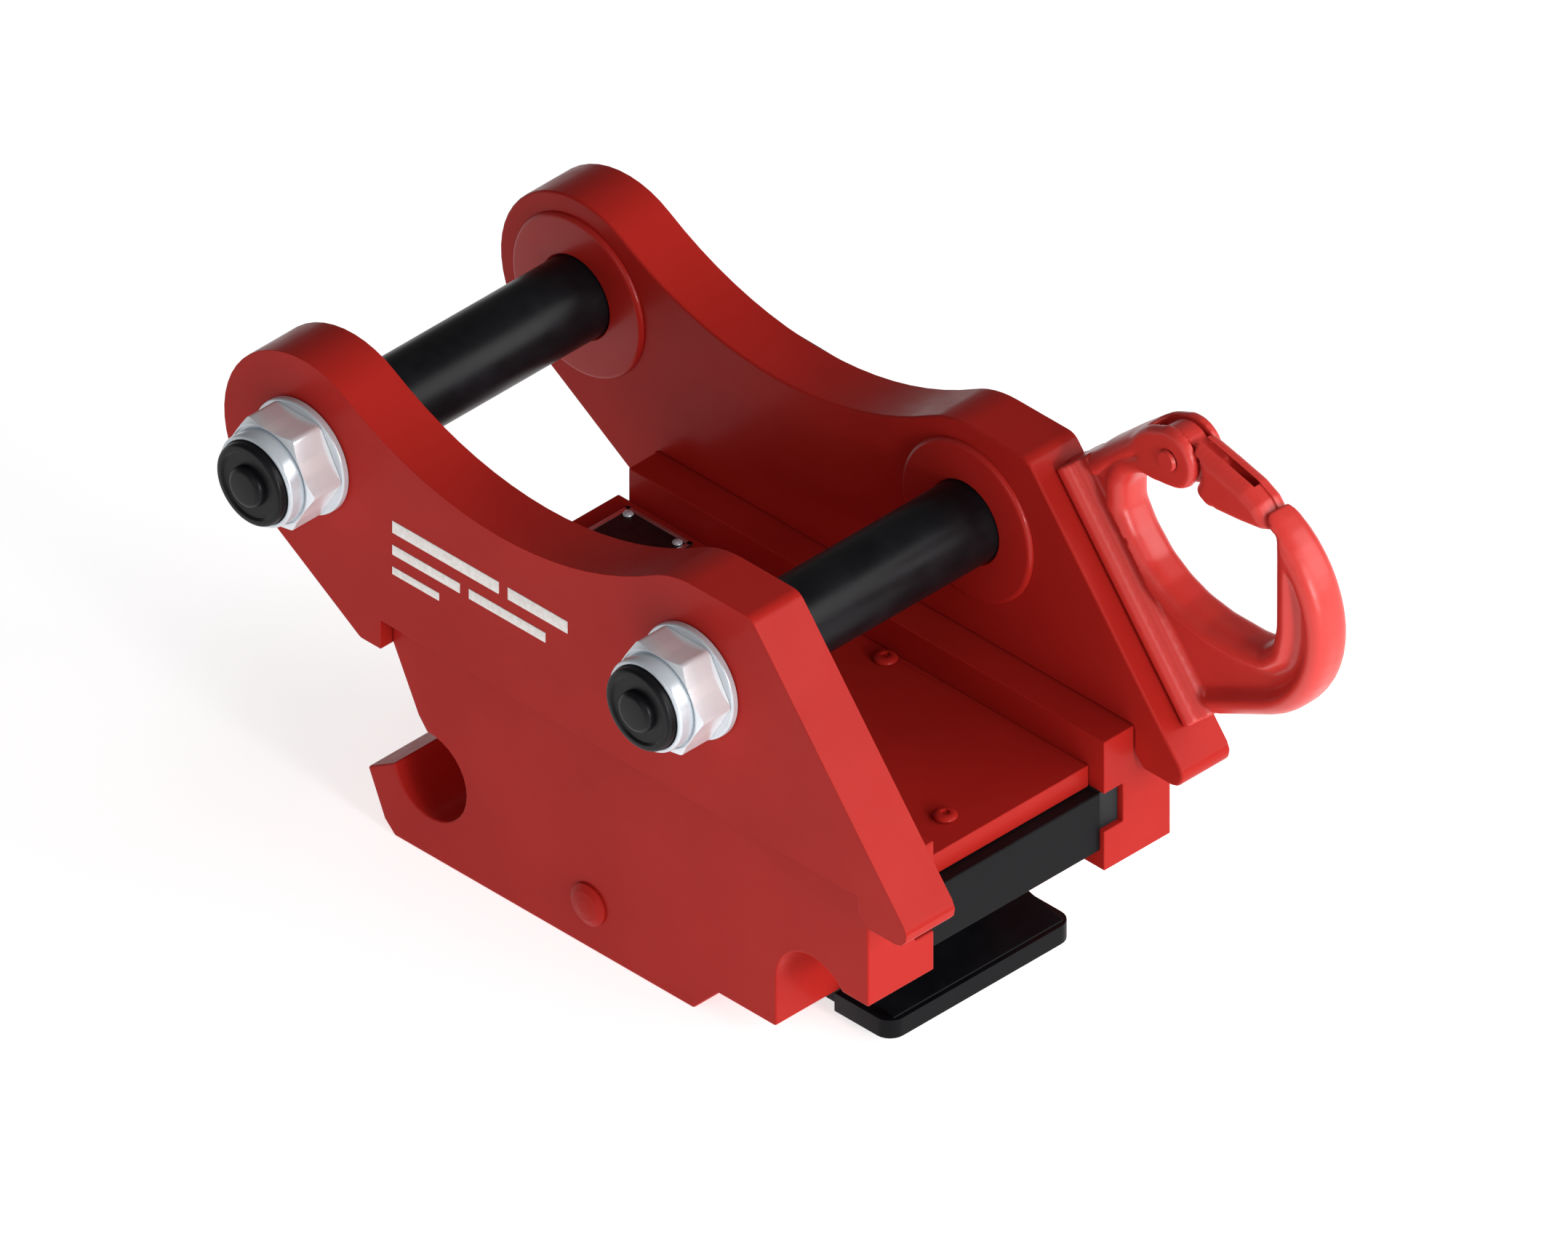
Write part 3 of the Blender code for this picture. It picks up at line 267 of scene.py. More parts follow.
SLOT_FINISH = {
    "red_paint": RED,
    "hook_paint": HOOK_RED,
    "black_steel": BLACK_STEEL,
    "wedge_steel": WEDGE_STEEL,
    "zinc_steel": ZINC,
    "chrome_rod": CHROME,
    "spring_steel": SPRING,
    "seal_rubber": SEAL,
    "plate_black": PLATE_BLACK,
}
NODE_SLOT = {part["node"]: part["material_slot"] for part in frame["record"]["subparts"]}
NODE_BODY = {node: body for body, nodes in frame["record"]["behaviour"]["bodies"].items()
             for node in nodes}


def finish_of(node):
    return SLOT_FINISH[NODE_SLOT[node]]


# ---------------------------------------------------------------- piece helpers

SMOOTH_ANGLE = 35                 # degrees; sharper edges stay sharp in the shading
MERGE_DISTANCE = 0.00003
FLAT_ANGLE = 1                    # degrees; CAD triangles nearer than this are one face
BEVEL_ANGLE = 28
BEVEL_SEGMENTS = 3
PLANE_STEP = 0.00005              # faces nearer than this to one plane count as one flat area


def piece(name, mesh, finish, body, nodes=()):
    """Link a mesh as a piece that rides a body and may stand for CAD nodes."""
    item = bpy.data.objects.new(name, mesh)
    bpy.context.scene.collection.objects.link(item)
    mesh.materials.clear()
    mesh.materials.append(finish)
    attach(item, body)
    if nodes:
        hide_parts(*nodes)
    return item


def shade(mesh, angle=SMOOTH_ANGLE):
    mesh.shade_smooth()
    mesh.set_sharp_from_angle(angle=radians(angle))


def solid_mesh(item):
    """The mesh of a working object once its modifiers are applied; the object goes."""
    bpy.context.view_layer.update()
    made = item.evaluated_get(bpy.context.evaluated_depsgraph_get())
    mesh = bpy.data.meshes.new_from_object(made)
    bpy.data.objects.remove(item)
    return mesh


def refill_flats(shape):
    """Fill each flat area that is split by seams again, inside its own rim only."""
    areas = {}
    for face in shape.faces:
        normal = face.normal
        plane = round(normal.dot(face.calc_center_median()) / PLANE_STEP)
        areas.setdefault((*[round(part, 3) for part in normal], plane), []).append(face)
    for faces in areas.values():
        normal = faces[0].normal.copy()
        region = set(faces)
        edges = list(dict.fromkeys(edge for face in faces for edge in face.edges))
        seams = [edge for edge in edges if region.issuperset(edge.link_faces)]
        if not seams:
            continue
        rim = [edge for edge in edges if not region.issuperset(edge.link_faces)]
        for face in faces:
            shape.faces.remove(face)
        for edge in seams:
            shape.edges.remove(edge)
        made = bmesh.ops.triangle_fill(shape, use_beauty=True, edges=rim, normal=normal)
        for face in made["geom"]:
            if isinstance(face, bmesh.types.BMFace) and face.normal.dot(normal) < 0:
                face.normal_flip()


def bevelled(node, width):
    """A CAD node again, with its triangles merged and its sharp edges rounded."""
    shape = bmesh.new()
    shape.from_mesh(frame["nodes"][node].data)
    bmesh.ops.remove_doubles(shape, verts=shape.verts, dist=MERGE_DISTANCE)
    bmesh.ops.dissolve_limit(shape, angle_limit=radians(FLAT_ANGLE), verts=shape.verts,
                             edges=shape.edges)
    mesh = bpy.data.meshes.new("merged")
    shape.to_mesh(mesh)
    shape.free()
    source = bpy.data.objects.new("source", mesh)
    bpy.context.scene.collection.objects.link(source)
    edges = source.modifiers.new("edges", "BEVEL")
    edges.width = width
    edges.segments = BEVEL_SEGMENTS
    edges.limit_method = "ANGLE"
    edges.angle_limit = radians(BEVEL_ANGLE)
    edges.use_clamp_overlap = True
    edges.miter_outer = "MITER_ARC"
    rounded_mesh = solid_mesh(source)
    rounded_mesh.name = f"{node}_skin"
    shape = bmesh.new()
    shape.from_mesh(rounded_mesh)
    refill_flats(shape)
    shape.to_mesh(rounded_mesh)
    shape.free()
    shade(rounded_mesh)
    item = piece(f"{node}_skin", rounded_mesh, finish_of(node), NODE_BODY[node],
                 (node,))
    even = item.modifiers.new("even", "WEIGHTED_NORMAL")
    even.mode = "FACE_AREA"
    even.weight = 100
    even.keep_sharp = True


# ---------------------------------------------------------------- the hard parts

for node, item in frame["nodes"].items():
    item.data.materials.clear()
    item.data.materials.append(finish_of(node))
    shade(item.data)
frame["nodes"]["latch_pin"].data.materials[0] = HOOK_RED

EDGE_WIDTHS = {
    "side_plate_left": 0.0016,
    "side_plate_right": 0.0016,
    "claw_rail_left": 0.0014,
    "claw_rail_right": 0.0014,
    "floor_plate": 0.0014,
    "cross_wall": 0.001,
    "wedge_slide": 0.0012,
    "stick_pin_keeper": 0.0012,
    "link_pin_keeper": 0.0012,
    "check_valve_block": 0.001,
    "cylinder_end_cap": 0.0012,
    "type_plate": 0.0004,
}
for node, width in EDGE_WIDTHS.items():
    bevelled(node, width)


# ---------------------------------------------------------------- turned and rounded pieces

WELD_DISTANCE = 0.000005


def skin(node, shape, angle=SMOOTH_ANGLE):
    """A closed shape as the piece that stands for one CAD node."""
    bmesh.ops.remove_doubles(shape, verts=shape.verts, dist=WELD_DISTANCE)
    bmesh.ops.recalc_face_normals(shape, faces=shape.faces)
    mesh = bpy.data.meshes.new(f"{node}_skin")
    shape.to_mesh(mesh)
    shape.free()
    shade(mesh, angle)
    return piece(mesh.name, mesh, finish_of(node), NODE_BODY[node], (node,))


def bridge(shape, first, second):
    """Faces between two rings, either of which may be a single point."""
    count = max(len(first), len(second))
    for i in range(count):
        j = (i + 1) % count
        corners = [first[i % len(first)], first[j % len(first)],
                   second[j % len(second)], second[i % len(second)]]
        unique = list(dict.fromkeys(corners))
        if len(unique) > 2:
            shape.faces.new(unique)


def turned(start, axis, profile, sides=96):
    """A turned solid from (distance along the axis, radius) pairs."""
    shape = bmesh.new()
    turn = Z_AXIS.rotation_difference(axis).to_matrix()
    angles = [2 * pi * i / sides for i in range(sides)]
    rings = [[shape.verts.new(start + turn @ Vector((radius * cos(a), radius * sin(a), along)))
              for a in (angles if radius else [0])] for along, radius in profile]
    for first, second in zip(rings, rings[1:]):
        bridge(shape, first, second)
    return shape


def rounded(along, radius, size, steps=5):
    """Profile points that round the outer corner at the far end of a turned piece."""
    return [(along - size * (1 - sin(pi / 2 * i / steps)),
             radius - size * (1 - cos(pi / 2 * i / steps))) for i in range(steps + 1)]


PIN_SPACING = middle("link_boss_left").x - PIN_EYE.x
PIN_XS = {"stick": 0.0, "link": PIN_SPACING}
PIN_HOLE = 0.0253
BOSS_RADIUS = 0.050
BOSS_HEIGHT = 0.003
BOSS_ROUNDING = 0.0029
HOLE_CHAMFER = 0.001
PIN_RADIUS = 0.025
PIN_ROUNDING = 0.0022
DISH_RIM = 0.004                  # flat rim of the pin's end face, outside its shallow dish
DISH_SLOPE = 0.0015
DISH_DEPTH = 0.0012
HUB_RADIUS = 0.0125
HUB_HEIGHT = 0.004
HUB_ROUNDING = 0.0036
HEAD_RADIUS = 0.036
HEAD_THICKNESS = 0.010
HEAD_CHAMFER = 0.0015
HEAD_FLAT = 0.029                 # from the pin's axis down to the flat on its head
WASHER_RADIUS = 0.035
WASHER_THICKNESS = 0.0047
WASHER_CHAMFER = 0.0006
WASHER_ROUNDING = 0.0014
WASHER_GAP = 0.0003
NUT_RADIUS = 0.0345               # across the hexagon's corners
NUT_SIDES = 180
NUT_CORNER = 0.0005               # turned off the hexagon's corners
NUT_HEX_END = 0.023
NUT_NEAR_START = 0.0012           # how far inside the corners the turned slopes begin
NUT_FAR_START = 0.0042
NUT_SLOPE = 1.75                  # fall of those slopes, across over along
NUT_GROOVE = 0.0014
COLLAR_RADIUS = 0.028
COLLAR_ROUNDING = 0.0022

for pin, x in PIN_XS.items():
    for side, direction in (("left", Y_AXIS), ("right", -Y_AXIS)):
        boss_low, boss_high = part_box(f"{pin}_boss_{side}")
        base_y = boss_low.y if side == "left" else boss_high.y
        start = Vector((START.x + x, base_y, START.z))
        skin(f"{pin}_boss_{side}",
             turned(start, direction,
                    [(0, PIN_HOLE), (0, BOSS_RADIUS),
                     *rounded(BOSS_HEIGHT, BOSS_RADIUS, BOSS_ROUNDING),
                     (BOSS_HEIGHT, PIN_HOLE + HOLE_CHAMFER),
                     (BOSS_HEIGHT - HOLE_CHAMFER, PIN_HOLE), (0, PIN_HOLE)]),
             30).data.materials[0] = RING_RED


def pin_shape(node, x):
    """A machine pin: domed hub in its dished end face, flat-sided head behind."""
    low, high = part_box(node)
    end = high.y - low.y - HUB_HEIGHT
    dish = end - DISH_DEPTH
    shape = turned(Vector((START.x + x, high.y, START.z)), -Y_AXIS,
                   [(0, 0), (0, HEAD_RADIUS - HEAD_CHAMFER), (HEAD_CHAMFER, HEAD_RADIUS),
                    (HEAD_THICKNESS, HEAD_RADIUS), (HEAD_THICKNESS, PIN_RADIUS),
                    *rounded(end, PIN_RADIUS, PIN_ROUNDING), (end, PIN_RADIUS - DISH_RIM),
                    (dish, PIN_RADIUS - DISH_RIM - DISH_SLOPE), (dish, HUB_RADIUS),
                    *rounded(end + HUB_HEIGHT, HUB_RADIUS, HUB_ROUNDING), (end + HUB_HEIGHT, 0)])
    for vertex in shape.verts:
        if vertex.co.y > high.y - HEAD_THICKNESS - 0.0001:
            vertex.co.z = max(vertex.co.z, START.z - HEAD_FLAT)
    return shape


def nut_profile(flat, length):
    """One side of the nut's section, for a hexagon of this radius here."""
    near, far = NUT_RADIUS - NUT_NEAR_START, NUT_RADIUS - NUT_FAR_START
    groove_radius = COLLAR_RADIUS + NUT_GROOVE
    groove_floor = NUT_HEX_END - NUT_GROOVE
    return [(0, PIN_HOLE), (0, min(flat, near)), (max(0, flat - near) / NUT_SLOPE, flat),
            (NUT_HEX_END - max(0, flat - far) / NUT_SLOPE, flat), (NUT_HEX_END, min(flat, far)),
            (NUT_HEX_END, groove_radius), (groove_floor, groove_radius),
            (groove_floor, COLLAR_RADIUS),
            *rounded(length, COLLAR_RADIUS, COLLAR_ROUNDING, 4),
            (length, PIN_HOLE + HOLE_CHAMFER), (length - HOLE_CHAMFER, PIN_HOLE)]


def nut_shape(start, length):
    """A collar nut whose hexagon has its corners turned off, so each flat ends in an arc."""
    apothem = NUT_RADIUS * cos(pi / 6)
    columns = []
    for i in range(NUT_SIDES):
        angle = 2 * pi * i / NUT_SIDES
        flat = min(apothem / cos(angle % (pi / 3) - pi / 6), NUT_RADIUS - NUT_CORNER)
        columns.append([Vector((radius * cos(angle), -along, radius * sin(angle)))
                        for along, radius in nut_profile(flat, length)])
    shape = bmesh.new()
    rows = [[shape.verts.new(start + spot) for spot in row] for row in zip(*columns)]
    for first, second in zip(rows, rows[1:]):
        bridge(shape, first, second)
    bridge(shape, rows[-1], rows[0])
    return shape


for pin, x in PIN_XS.items():
    skin(f"{pin}_pin", pin_shape(f"{pin}_pin", x), 32)
    skin(f"{pin}_pin_washer",
         turned(at(x, -WASHER_GAP, 0), -Y_AXIS,
                [(0, PIN_HOLE), (0, WASHER_RADIUS - WASHER_CHAMFER),
                 (WASHER_CHAMFER, WASHER_RADIUS),
                 *rounded(WASHER_THICKNESS, WASHER_RADIUS, WASHER_ROUNDING, 4),
                 (WASHER_THICKNESS, PIN_HOLE), (0, PIN_HOLE)]), 30)
    nut_low, nut_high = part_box(f"{pin}_pin_nut")
    skin(f"{pin}_pin_nut", nut_shape(Vector((START.x + x, nut_high.y, START.z)),
                                     nut_high.y - nut_low.y), 24)

RIVET_RADIUS = 0.003
RIVET_HEIGHT = 0.0016
RIVET_SHANK = 0.0014
DOME_STEPS = 8
SCREW_SHANK = 0.0036
# Button head with a socket in its crown: (depth below the crown, radius)
SCREW_HEAD = ((0.0030, SCREW_SHANK), (0.0030, 0.0066), (0.0022, 0.0070), (0.0013, 0.0066),
              (0.0005, 0.0056), (0.0001, 0.0044), (0, 0.0034), (0.0001, 0.0026),
              (0.0012, 0.0024), (0.0012, 0))


def rivet_shape(node):
    """A domed head on a round shank."""
    low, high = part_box(node)
    top = high.z - low.z
    base = top - RIVET_HEIGHT
    dome = [(base + RIVET_HEIGHT * sin(pi / 2 * i / DOME_STEPS),
             RIVET_RADIUS * cos(pi / 2 * i / DOME_STEPS)) for i in range(DOME_STEPS)]
    return turned(middle(node) - Z_AXIS * top / 2, Z_AXIS,
                  [(0, 0), (0, RIVET_SHANK), (base, RIVET_SHANK), *dome, (top, 0)], 40)


def screw_shape(node):
    low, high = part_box(node)
    top = high.z - low.z
    centre = middle(node)
    head = [(top - depth, radius) for depth, radius in SCREW_HEAD]
    return turned(Vector((centre.x, centre.y, low.z)), Z_AXIS,
                  [(0, 0), (0, SCREW_SHANK), *head], 48)


for number in (1, 2):
    skin(f"floor_screw_{number}", screw_shape(f"floor_screw_{number}"))
for number in (1, 2, 3, 4):
    skin(f"type_plate_rivet_{number}", rivet_shape(f"type_plate_rivet_{number}"), 50)


# ---------------------------------------------------------------- springs

WIRE = 0.0017
COIL_TURNS = 19
COIL_STEPS = 28
END_TURNS = 0.75                  # close turns at each end
CLOSE_PITCH = 2.1 * WIRE


def tube(points, radius, sides=10):
    """A round bar along a line of points, closed at both ends."""
    shape = bmesh.new()
    angles = [2 * pi * i / sides for i in range(sides)]
    rings = []
    side = None
    for i, spot in enumerate(points):
        along = (points[min(i + 1, len(points) - 1)] - points[max(i - 1, 0)]).normalized()
        side = (side - along * side.dot(along) if i else along.orthogonal()).normalized()
        up = along.cross(side)
        rings.append([shape.verts.new(spot + radius * (side * cos(a) + up * sin(a)))
                      for a in angles])
    for first, second in zip(rings, rings[1:]):
        bridge(shape, first, second)
    shape.faces.new(rings[0][::-1])
    shape.faces.new(rings[-1])
    return shape


def coil_points(start, length, radius):
    """Points along a spring on the X axis, with close turns at each end."""
    travel = length - 2 * WIRE - CLOSE_PITCH * 2 * END_TURNS
    points = []
    for i in range(COIL_TURNS * COIL_STEPS + 1):
        turn = i / COIL_STEPS
        share = min(max((turn - END_TURNS) / (COIL_TURNS - 2 * END_TURNS), 0), 1)
        lead = CLOSE_PITCH * (min(turn, END_TURNS) + max(turn - COIL_TURNS + END_TURNS, 0))
        angle = 2 * pi * turn
        points.append(start + Vector((WIRE + lead + travel * share, radius * cos(angle),
                                      radius * sin(angle))))
    return points


for side in ("left", "right"):
    node = f"lock_spring_{side}"
    low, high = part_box(node)
    centre = middle(node)
    anchor = Vector((low.x, centre.y, centre.z))
    wire_line = coil_points(anchor, high.x - low.x, (high.z - low.z) / 2 - WIRE)
    coil = skin(node, tube(wire_line, WIRE), 60)
    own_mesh(coil)


# ---------------------------------------------------------------- forged hook and latch

WALL_TILT = 0.35                  # how far a side wall's normal may lean towards Y
FOOT_FACING = -0.9                # a wall that faces down the slant this much is the foot
FACE_MARGIN = 0.0008

def remeshed(mesh, voxel, smoothing):
    """A mesh as one even, slightly softened skin of small faces."""
    source = bpy.data.objects.new("source", mesh)
    bpy.context.scene.collection.objects.link(source)
    even = source.modifiers.new("even", "REMESH")
    even.mode = "VOXEL"
    even.voxel_size = voxel
    soften = source.modifiers.new("soften", "SMOOTH")
    soften.factor = 0.5
    soften.iterations = smoothing
    return solid_mesh(source)


def forge(mesh, middle_y, half, band, relief):
    """Push both faces of a flat shape in, by a depth that depends on how near its outline is."""
    count = len(mesh.vertices)
    places = np.empty(count * 3)
    normals = np.empty(count * 3)
    mesh.vertices.foreach_get("co", places)
    mesh.vertices.foreach_get("normal", normals)
    places = places.reshape(-1, 3)
    normals = normals.reshape(-1, 3)
    across = places[:, 1] - middle_y
    depth = np.abs(across)
    wall = np.flatnonzero((np.abs(normals[:, 1]) < WALL_TILT)
                          & (depth > band[0]) & (depth < band[1])
                          & (normals @ np.array(SLANT_UP) > FOOT_FACING))
    tree = kdtree.KDTree(len(wall))
    for index in wall:
        tree.insert((places[index, 0], 0, places[index, 2]), int(index))
    tree.balance()
    for index in np.flatnonzero(depth < half + FACE_MARGIN):
        spot = Vector((places[index, 0], 0, places[index, 2]))
        share = relief(spot, tree.find(spot)[2]) / half
        places[index, 1] = middle_y + across[index] * (1 - share)
    mesh.vertices.foreach_set("co", places.reshape(-1))
    mesh.update()


def ease(value):
    """A smooth step from 0 to 1."""
    value = min(max(value, 0), 1)
    return value * value * (3 - 2 * value)


SLANT = radians(38.66)                     # the slanted front edge's normal above the horizontal
SLANT_OFFSET = 0.3076
SLANT_UP = Vector((cos(SLANT), 0, sin(SLANT)))
SLANT_ALONG = Vector((sin(SLANT), 0, -cos(SLANT)))
PIVOT_X = 0.436
PIVOT_Z = 0.099
PIVOT = Vector((START.x + PIVOT_X, 0, START.z + PIVOT_Z))
CHEEK_RADIUS = 0.0230             # round the latch's pivot, where the hook keeps flat cheeks
CHEEK_FADE = 0.0100
CHEEK_ROUNDING = 0.4              # share of the rim's rounding that the cheeks keep
HOOK_ROUNDING = 0.0090
HOOK_CREST = 0.0095               # from the outline to the crest of the rim
HOOK_FALL = 0.0075                # from the crest to the web
HOOK_WEB = 0.0068                 # depth of the web on each side
HOOK_MIDDLE = START.y + 0.243
HOOK_HALF = 0.0135
HOOK_BAND = (0.0082, 0.0115)      # depths at which the hook's outline is taken
HOOK_VOXEL = 0.0012
LATCH_ROUNDING = 0.0070
LATCH_HALF = 0.0113
LATCH_BAND = (0.0065, 0.0100)
LATCH_VOXEL = 0.0009
FORGED_ANGLE = 75                 # degrees; nearly all of a forging is smooth


def rounding(away, radius):
    """The depth of a rounded edge's surface below its crest."""
    short = max(radius - away, 0)
    return radius - sqrt(radius ** 2 - short ** 2)


def hook_relief(spot, away):
    """Rounded rims, and a sunk web between them that fades out round the latch's ears."""
    cheek = ease(((spot - PIVOT).length - CHEEK_RADIUS) / CHEEK_FADE)
    share = CHEEK_ROUNDING + (1 - CHEEK_ROUNDING) * cheek
    return (rounding(away, HOOK_ROUNDING * share)
            + HOOK_WEB * cheek * ease((away - HOOK_CREST) / HOOK_FALL))


def latch_relief(spot, away):
    """Rounded rims everywhere, wherever the spot is."""
    return rounding(away, LATCH_ROUNDING)


def on_slant(along, height, y):
    """A place above the slanted front edge of a side plate."""
    return START + SLANT_UP * (SLANT_OFFSET + height) + SLANT_ALONG * along + Y_AXIS * y


def prism(outline, near, far):
    """A flat shape between two Y planes, from (x, z) corners."""
    shape = bmesh.new()
    rings = [[shape.verts.new(at(x, y, z)) for x, z in outline] for y in (near, far)]
    bridge(shape, *rings)
    shape.faces.new(rings[0])
    shape.faces.new(rings[1][::-1])
    bmesh.ops.recalc_face_normals(shape, faces=shape.faces)
    return shape


def joined(*shapes):
    """Several overlapping closed shapes in one mesh, ready to be merged by a remesh."""
    mesh = bpy.data.meshes.new("joined")
    total = bmesh.new()
    for shape in shapes:
        shape.to_mesh(mesh)
        shape.free()
        total.from_mesh(mesh)
    total.to_mesh(mesh)
    total.free()
    return mesh


def node_shape(node):
    shape = bmesh.new()
    shape.from_mesh(frame["nodes"][node].data)
    return shape


# The weld-on foot, by place along the slanted edge and height above it
FOOT_START = 0.1790
FOOT_END = 0.3370
FOOT_HEIGHT = 0.0232
FOOT_BLOCK = (FOOT_START, FOOT_END, 0.0006, 0.0105, 0.2290, 0.2570)
STEM_BLOCK = (0.1850, 0.3310, 0.0050, 0.0240, 0.2372, 0.2488)
WEB_HALF = 0.0060
RIDGE_STEPS = 40
RIDGES = ((0.0056, 0.2300, 0.0054), (0.0110, 0.2365, 0.0060),      # height, Y, radius
          (0.0056, 0.2544, 0.0054), (0.0110, 0.2490, 0.0060))


def pinch_foot(mesh, half):
    """Thin the foot down to the web, where ridges and a plain block take its place."""
    plate_edge = START.dot(SLANT_UP) + SLANT_OFFSET
    for vertex in mesh.vertices:
        if vertex.co.dot(SLANT_UP) - plate_edge < FOOT_HEIGHT:
            vertex.co.y = min(max(vertex.co.y, HOOK_MIDDLE - half), HOOK_MIDDLE + half)


def slant_block(start, end, low, high, near, far):
    """A block that stands on the slanted edge."""
    corners = [on_slant(start, low, 0), on_slant(end, low, 0), on_slant(end, high, 0),
               on_slant(start, high, 0)]
    return prism([(c.x - START.x, c.z - START.z) for c in corners], near, far)


def ridge(height, y, radius):
    """A round bar along the foot."""
    step = (FOOT_END - FOOT_START) / RIDGE_STEPS
    return tube([on_slant(FOOT_START + step * i, height, y) for i in range(RIDGE_STEPS + 1)],
                radius, 20)


blank = remeshed(joined(node_shape("load_hook")), HOOK_VOXEL, 12)
forge(blank, HOOK_MIDDLE, HOOK_HALF, HOOK_BAND, hook_relief)
pinch_foot(blank, WEB_HALF)
blank_shape = bmesh.new()
blank_shape.from_mesh(blank)
hook = remeshed(joined(blank_shape, *[ridge(*row) for row in RIDGES], slant_block(*FOOT_BLOCK),
                       slant_block(*STEM_BLOCK)), HOOK_VOXEL, 3)
shade(hook, FORGED_ANGLE)
piece("load_hook_skin", hook, finish_of("load_hook"), "frame", ("load_hook",))


def pivot_arc(radius, angles):
    """Corners round the latch's pivot, at angles in degrees."""
    return [(PIVOT_X + radius * cos(radians(a)), PIVOT_Z + radius * sin(radians(a)))
            for a in angles]


# The latch's outlines, as (x, z) corners, and the Y planes they run between
LATCH_SIDE = [*pivot_arc(0.0197, range(-36, 50, 6)), (0.4720, 0.1085), (0.4900, 0.1040),
              (0.5010, 0.0985), (0.5110, 0.0862), (0.5030, 0.0827), (0.4870, 0.0803),
              (0.4680, 0.0785)]
WEB_TOP = 0.0935
WEB_LIMIT = 0.0985
LATCH_WEB = [(x, min(z, WEB_TOP)) for x, z in LATCH_SIDE if z < WEB_LIMIT]
LATCH_NECK = [(0.4400, 0.0880), (0.4640, 0.0860), (0.4640, 0.1060), (0.4400, 0.1140)]
LATCH_TIP = [(0.4900, 0.0812), (0.5020, 0.0830), (0.5090, 0.0870), (0.5000, 0.0978),
             (0.4900, 0.1030)]
KNUCKLE = pivot_arc(0.0165, range(0, 360, 12))
NEAR_CHEEK = (0.2317, 0.2375)
FAR_CHEEK = (0.2485, 0.2543)
BETWEEN_EARS = (0.2367, 0.2493)
FULL_WIDTH = (0.2320, 0.2540)

latch = remeshed(joined(prism(LATCH_SIDE, *NEAR_CHEEK), prism(LATCH_SIDE, *FAR_CHEEK),
                        prism(LATCH_WEB, *FULL_WIDTH), prism(KNUCKLE, *BETWEEN_EARS),
                        prism(LATCH_NECK, *BETWEEN_EARS), prism(LATCH_TIP, *FULL_WIDTH)),
                 LATCH_VOXEL, 4)
forge(latch, HOOK_MIDDLE, LATCH_HALF, LATCH_BAND, latch_relief)
shade(latch, FORGED_ANGLE)
piece("hook_latch_skin", latch, finish_of("hook_latch"), "latch",
      ("hook_latch",))


# ---------------------------------------------------------------- marks and type plate

MARK_SINK = 0.0002
MARK_DEPTH = 0.0003
MARK_EDGE = 0.0001
STRIPES = (                       # left, right, bottom and top on the near side plate
    (0.068, 0.150, -0.0185, -0.0105),
    (0.157, 0.203, -0.0185, -0.0105),
    (0.068, 0.120, -0.0330, -0.0265),
    (0.127, 0.186, -0.0330, -0.0265),
    (0.068, 0.104, -0.0460, -0.0410),
)
BORDER = 0.0028
PRINT_LIFT = 0.0002
PRINT_EDGE = 0.00008


def bar_shape(low, high, edge):
    """A box with every edge rounded."""
    shape = bmesh.new()
    place = Matrix.Translation((low + high) / 2) @ Matrix.Diagonal((*(high - low), 1))
    bmesh.ops.create_cube(shape, size=1, matrix=place)
    bmesh.ops.bevel(shape, geom=shape.edges[:], offset=edge, segments=3, profile=0.5,
                    affect="EDGES")
    return shape


def fitting(name, shape, finish):
    """An added piece on the frame that stands for no CAD node."""
    mesh = bpy.data.meshes.new(name)
    bmesh.ops.recalc_face_normals(shape, faces=shape.faces)
    shape.to_mesh(mesh)
    shape.free()
    shade(mesh)
    return piece(name, mesh, finish, "frame")


for number, (left, right, bottom, top) in enumerate(STRIPES, 1):
    fitting(f"plate_stripe_{number}",
            bar_shape(at(left, -MARK_DEPTH, bottom), at(right, MARK_SINK, top), MARK_EDGE),
            WHITE_MARK)

plate_low, plate_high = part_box("type_plate")
inner_low = plate_low + Vector((BORDER, BORDER, 0))
inner_high = plate_high - Vector((BORDER, BORDER, 0))
STRIPS = (
    (plate_low.x, plate_high.x, plate_low.y, inner_low.y),
    (plate_low.x, plate_high.x, inner_high.y, plate_high.y),
    (plate_low.x, inner_low.x, plate_low.y, plate_high.y),
    (inner_high.x, plate_high.x, plate_low.y, plate_high.y),
)
for number, (left, right, near, far) in enumerate(STRIPS, 1):
    fitting(f"type_plate_border_{number}",
            bar_shape(Vector((left, near, plate_high.z - PRINT_LIFT)),
                      Vector((right, far, plate_high.z + PRINT_LIFT)), PRINT_EDGE),
            PLATE_EDGE)


# ---------------------------------------------------------------- stage, light and camera

VIEW_WIDTH = 0.8545
VIEW_TARGET = at(0.2447, 0.125, -0.05605)
VIEW_FROM = Vector((1, -1, 1)).normalized()
CAMERA_DISTANCE = 3.0
CAMERA_REACH = 20
FLOOR_SIZE = 12
FLOOR_GLOW = 0.70
WORLD_GLOW = 0.16
# Softboxes: direction from the view's target, side, watts and distance
LIGHTS = {
    "key": ((0.93, -0.04, 0.36), 2.4, 66, 4.0),
    "sheen": ((0.68, 0.58, 0.43), 2.6, 85, 4.0),
    "fill": ((0.35, -0.90, 0.45), 2.4, 20, 4.0),
    "glint": ((0.96, -0.18, 0.22), 0.30, 12, 2.2),
}


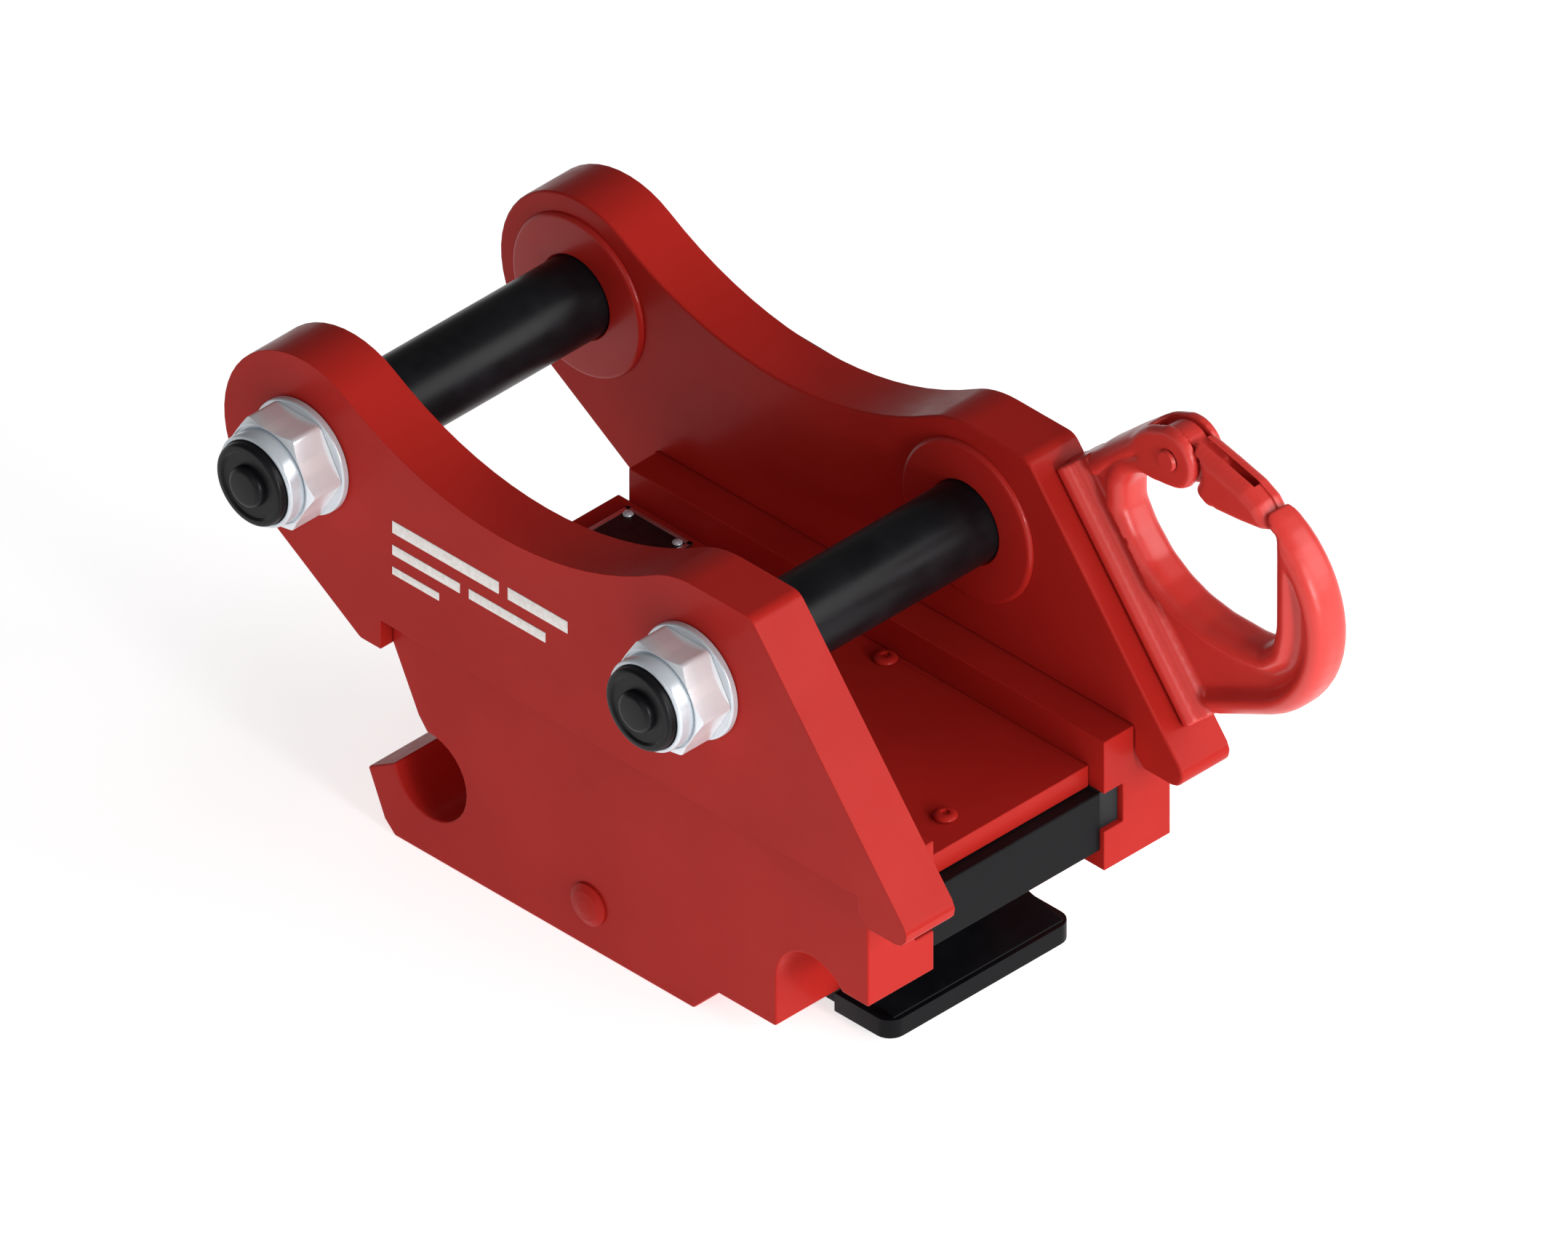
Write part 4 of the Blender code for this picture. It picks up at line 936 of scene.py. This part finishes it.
def soft_light(name, towards, size, power, distance):
    """A square softbox that faces the coupler from one direction."""
    light = bpy.data.lights.new(name, "AREA")
    light.shape = "SQUARE"
    light.size = size
    light.energy = power
    item = bpy.data.objects.new(name, light)
    way = Vector(towards).normalized()
    item.location = VIEW_TARGET + way * distance
    item.rotation_mode = "QUATERNION"
    item.rotation_quaternion = way.to_track_quat("Z", "Y")
    bpy.context.scene.collection.objects.link(item)


def make_camera():
    data = bpy.data.cameras.new("camera")
    data.type = "ORTHO"
    data.ortho_scale = VIEW_WIDTH
    data.clip_end = CAMERA_REACH
    item = bpy.data.objects.new("camera", data)
    item.location = VIEW_TARGET + VIEW_FROM * CAMERA_DISTANCE
    item.rotation_mode = "QUATERNION"
    item.rotation_quaternion = VIEW_FROM.to_track_quat("Z", "Y")
    bpy.context.scene.collection.objects.link(item)
    bpy.context.scene.camera = item


def make_floor():
    shape = bmesh.new()
    bmesh.ops.create_grid(shape, x_segments=1, y_segments=1, size=FLOOR_SIZE)
    mesh = bpy.data.meshes.new("floor")
    shape.to_mesh(mesh)
    shape.free()
    material, tree, shader = new_material("floor_white")
    shader.inputs["Base Color"].default_value = (0.8, 0.8, 0.8, 1)
    shader.inputs["Roughness"].default_value = 0.9
    shader.inputs["Specular IOR Level"].default_value = 0.0
    shader.inputs["Emission Color"].default_value = (1, 1, 1, 1)
    shader.inputs["Emission Strength"].default_value = FLOOR_GLOW
    mesh.materials.append(material)
    item = bpy.data.objects.new("floor", mesh)
    bpy.context.scene.collection.objects.link(item)
    item.location = (0, 0, CAD_BOX[0].z)
    item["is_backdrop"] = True


def make_world():
    world = bpy.data.worlds.new("studio")
    world.use_nodes = True
    background = world.node_tree.nodes["Background"]
    background.inputs["Color"].default_value = (1, 1, 1, 1)
    background.inputs["Strength"].default_value = WORLD_GLOW
    bpy.context.scene.world = world


make_world()
make_floor()
for name, (towards, size, power, distance) in LIGHTS.items():
    soft_light(name, towards, size, power, distance)
make_camera()
bpy.context.scene.view_settings.view_transform = "Standard"

low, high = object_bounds()
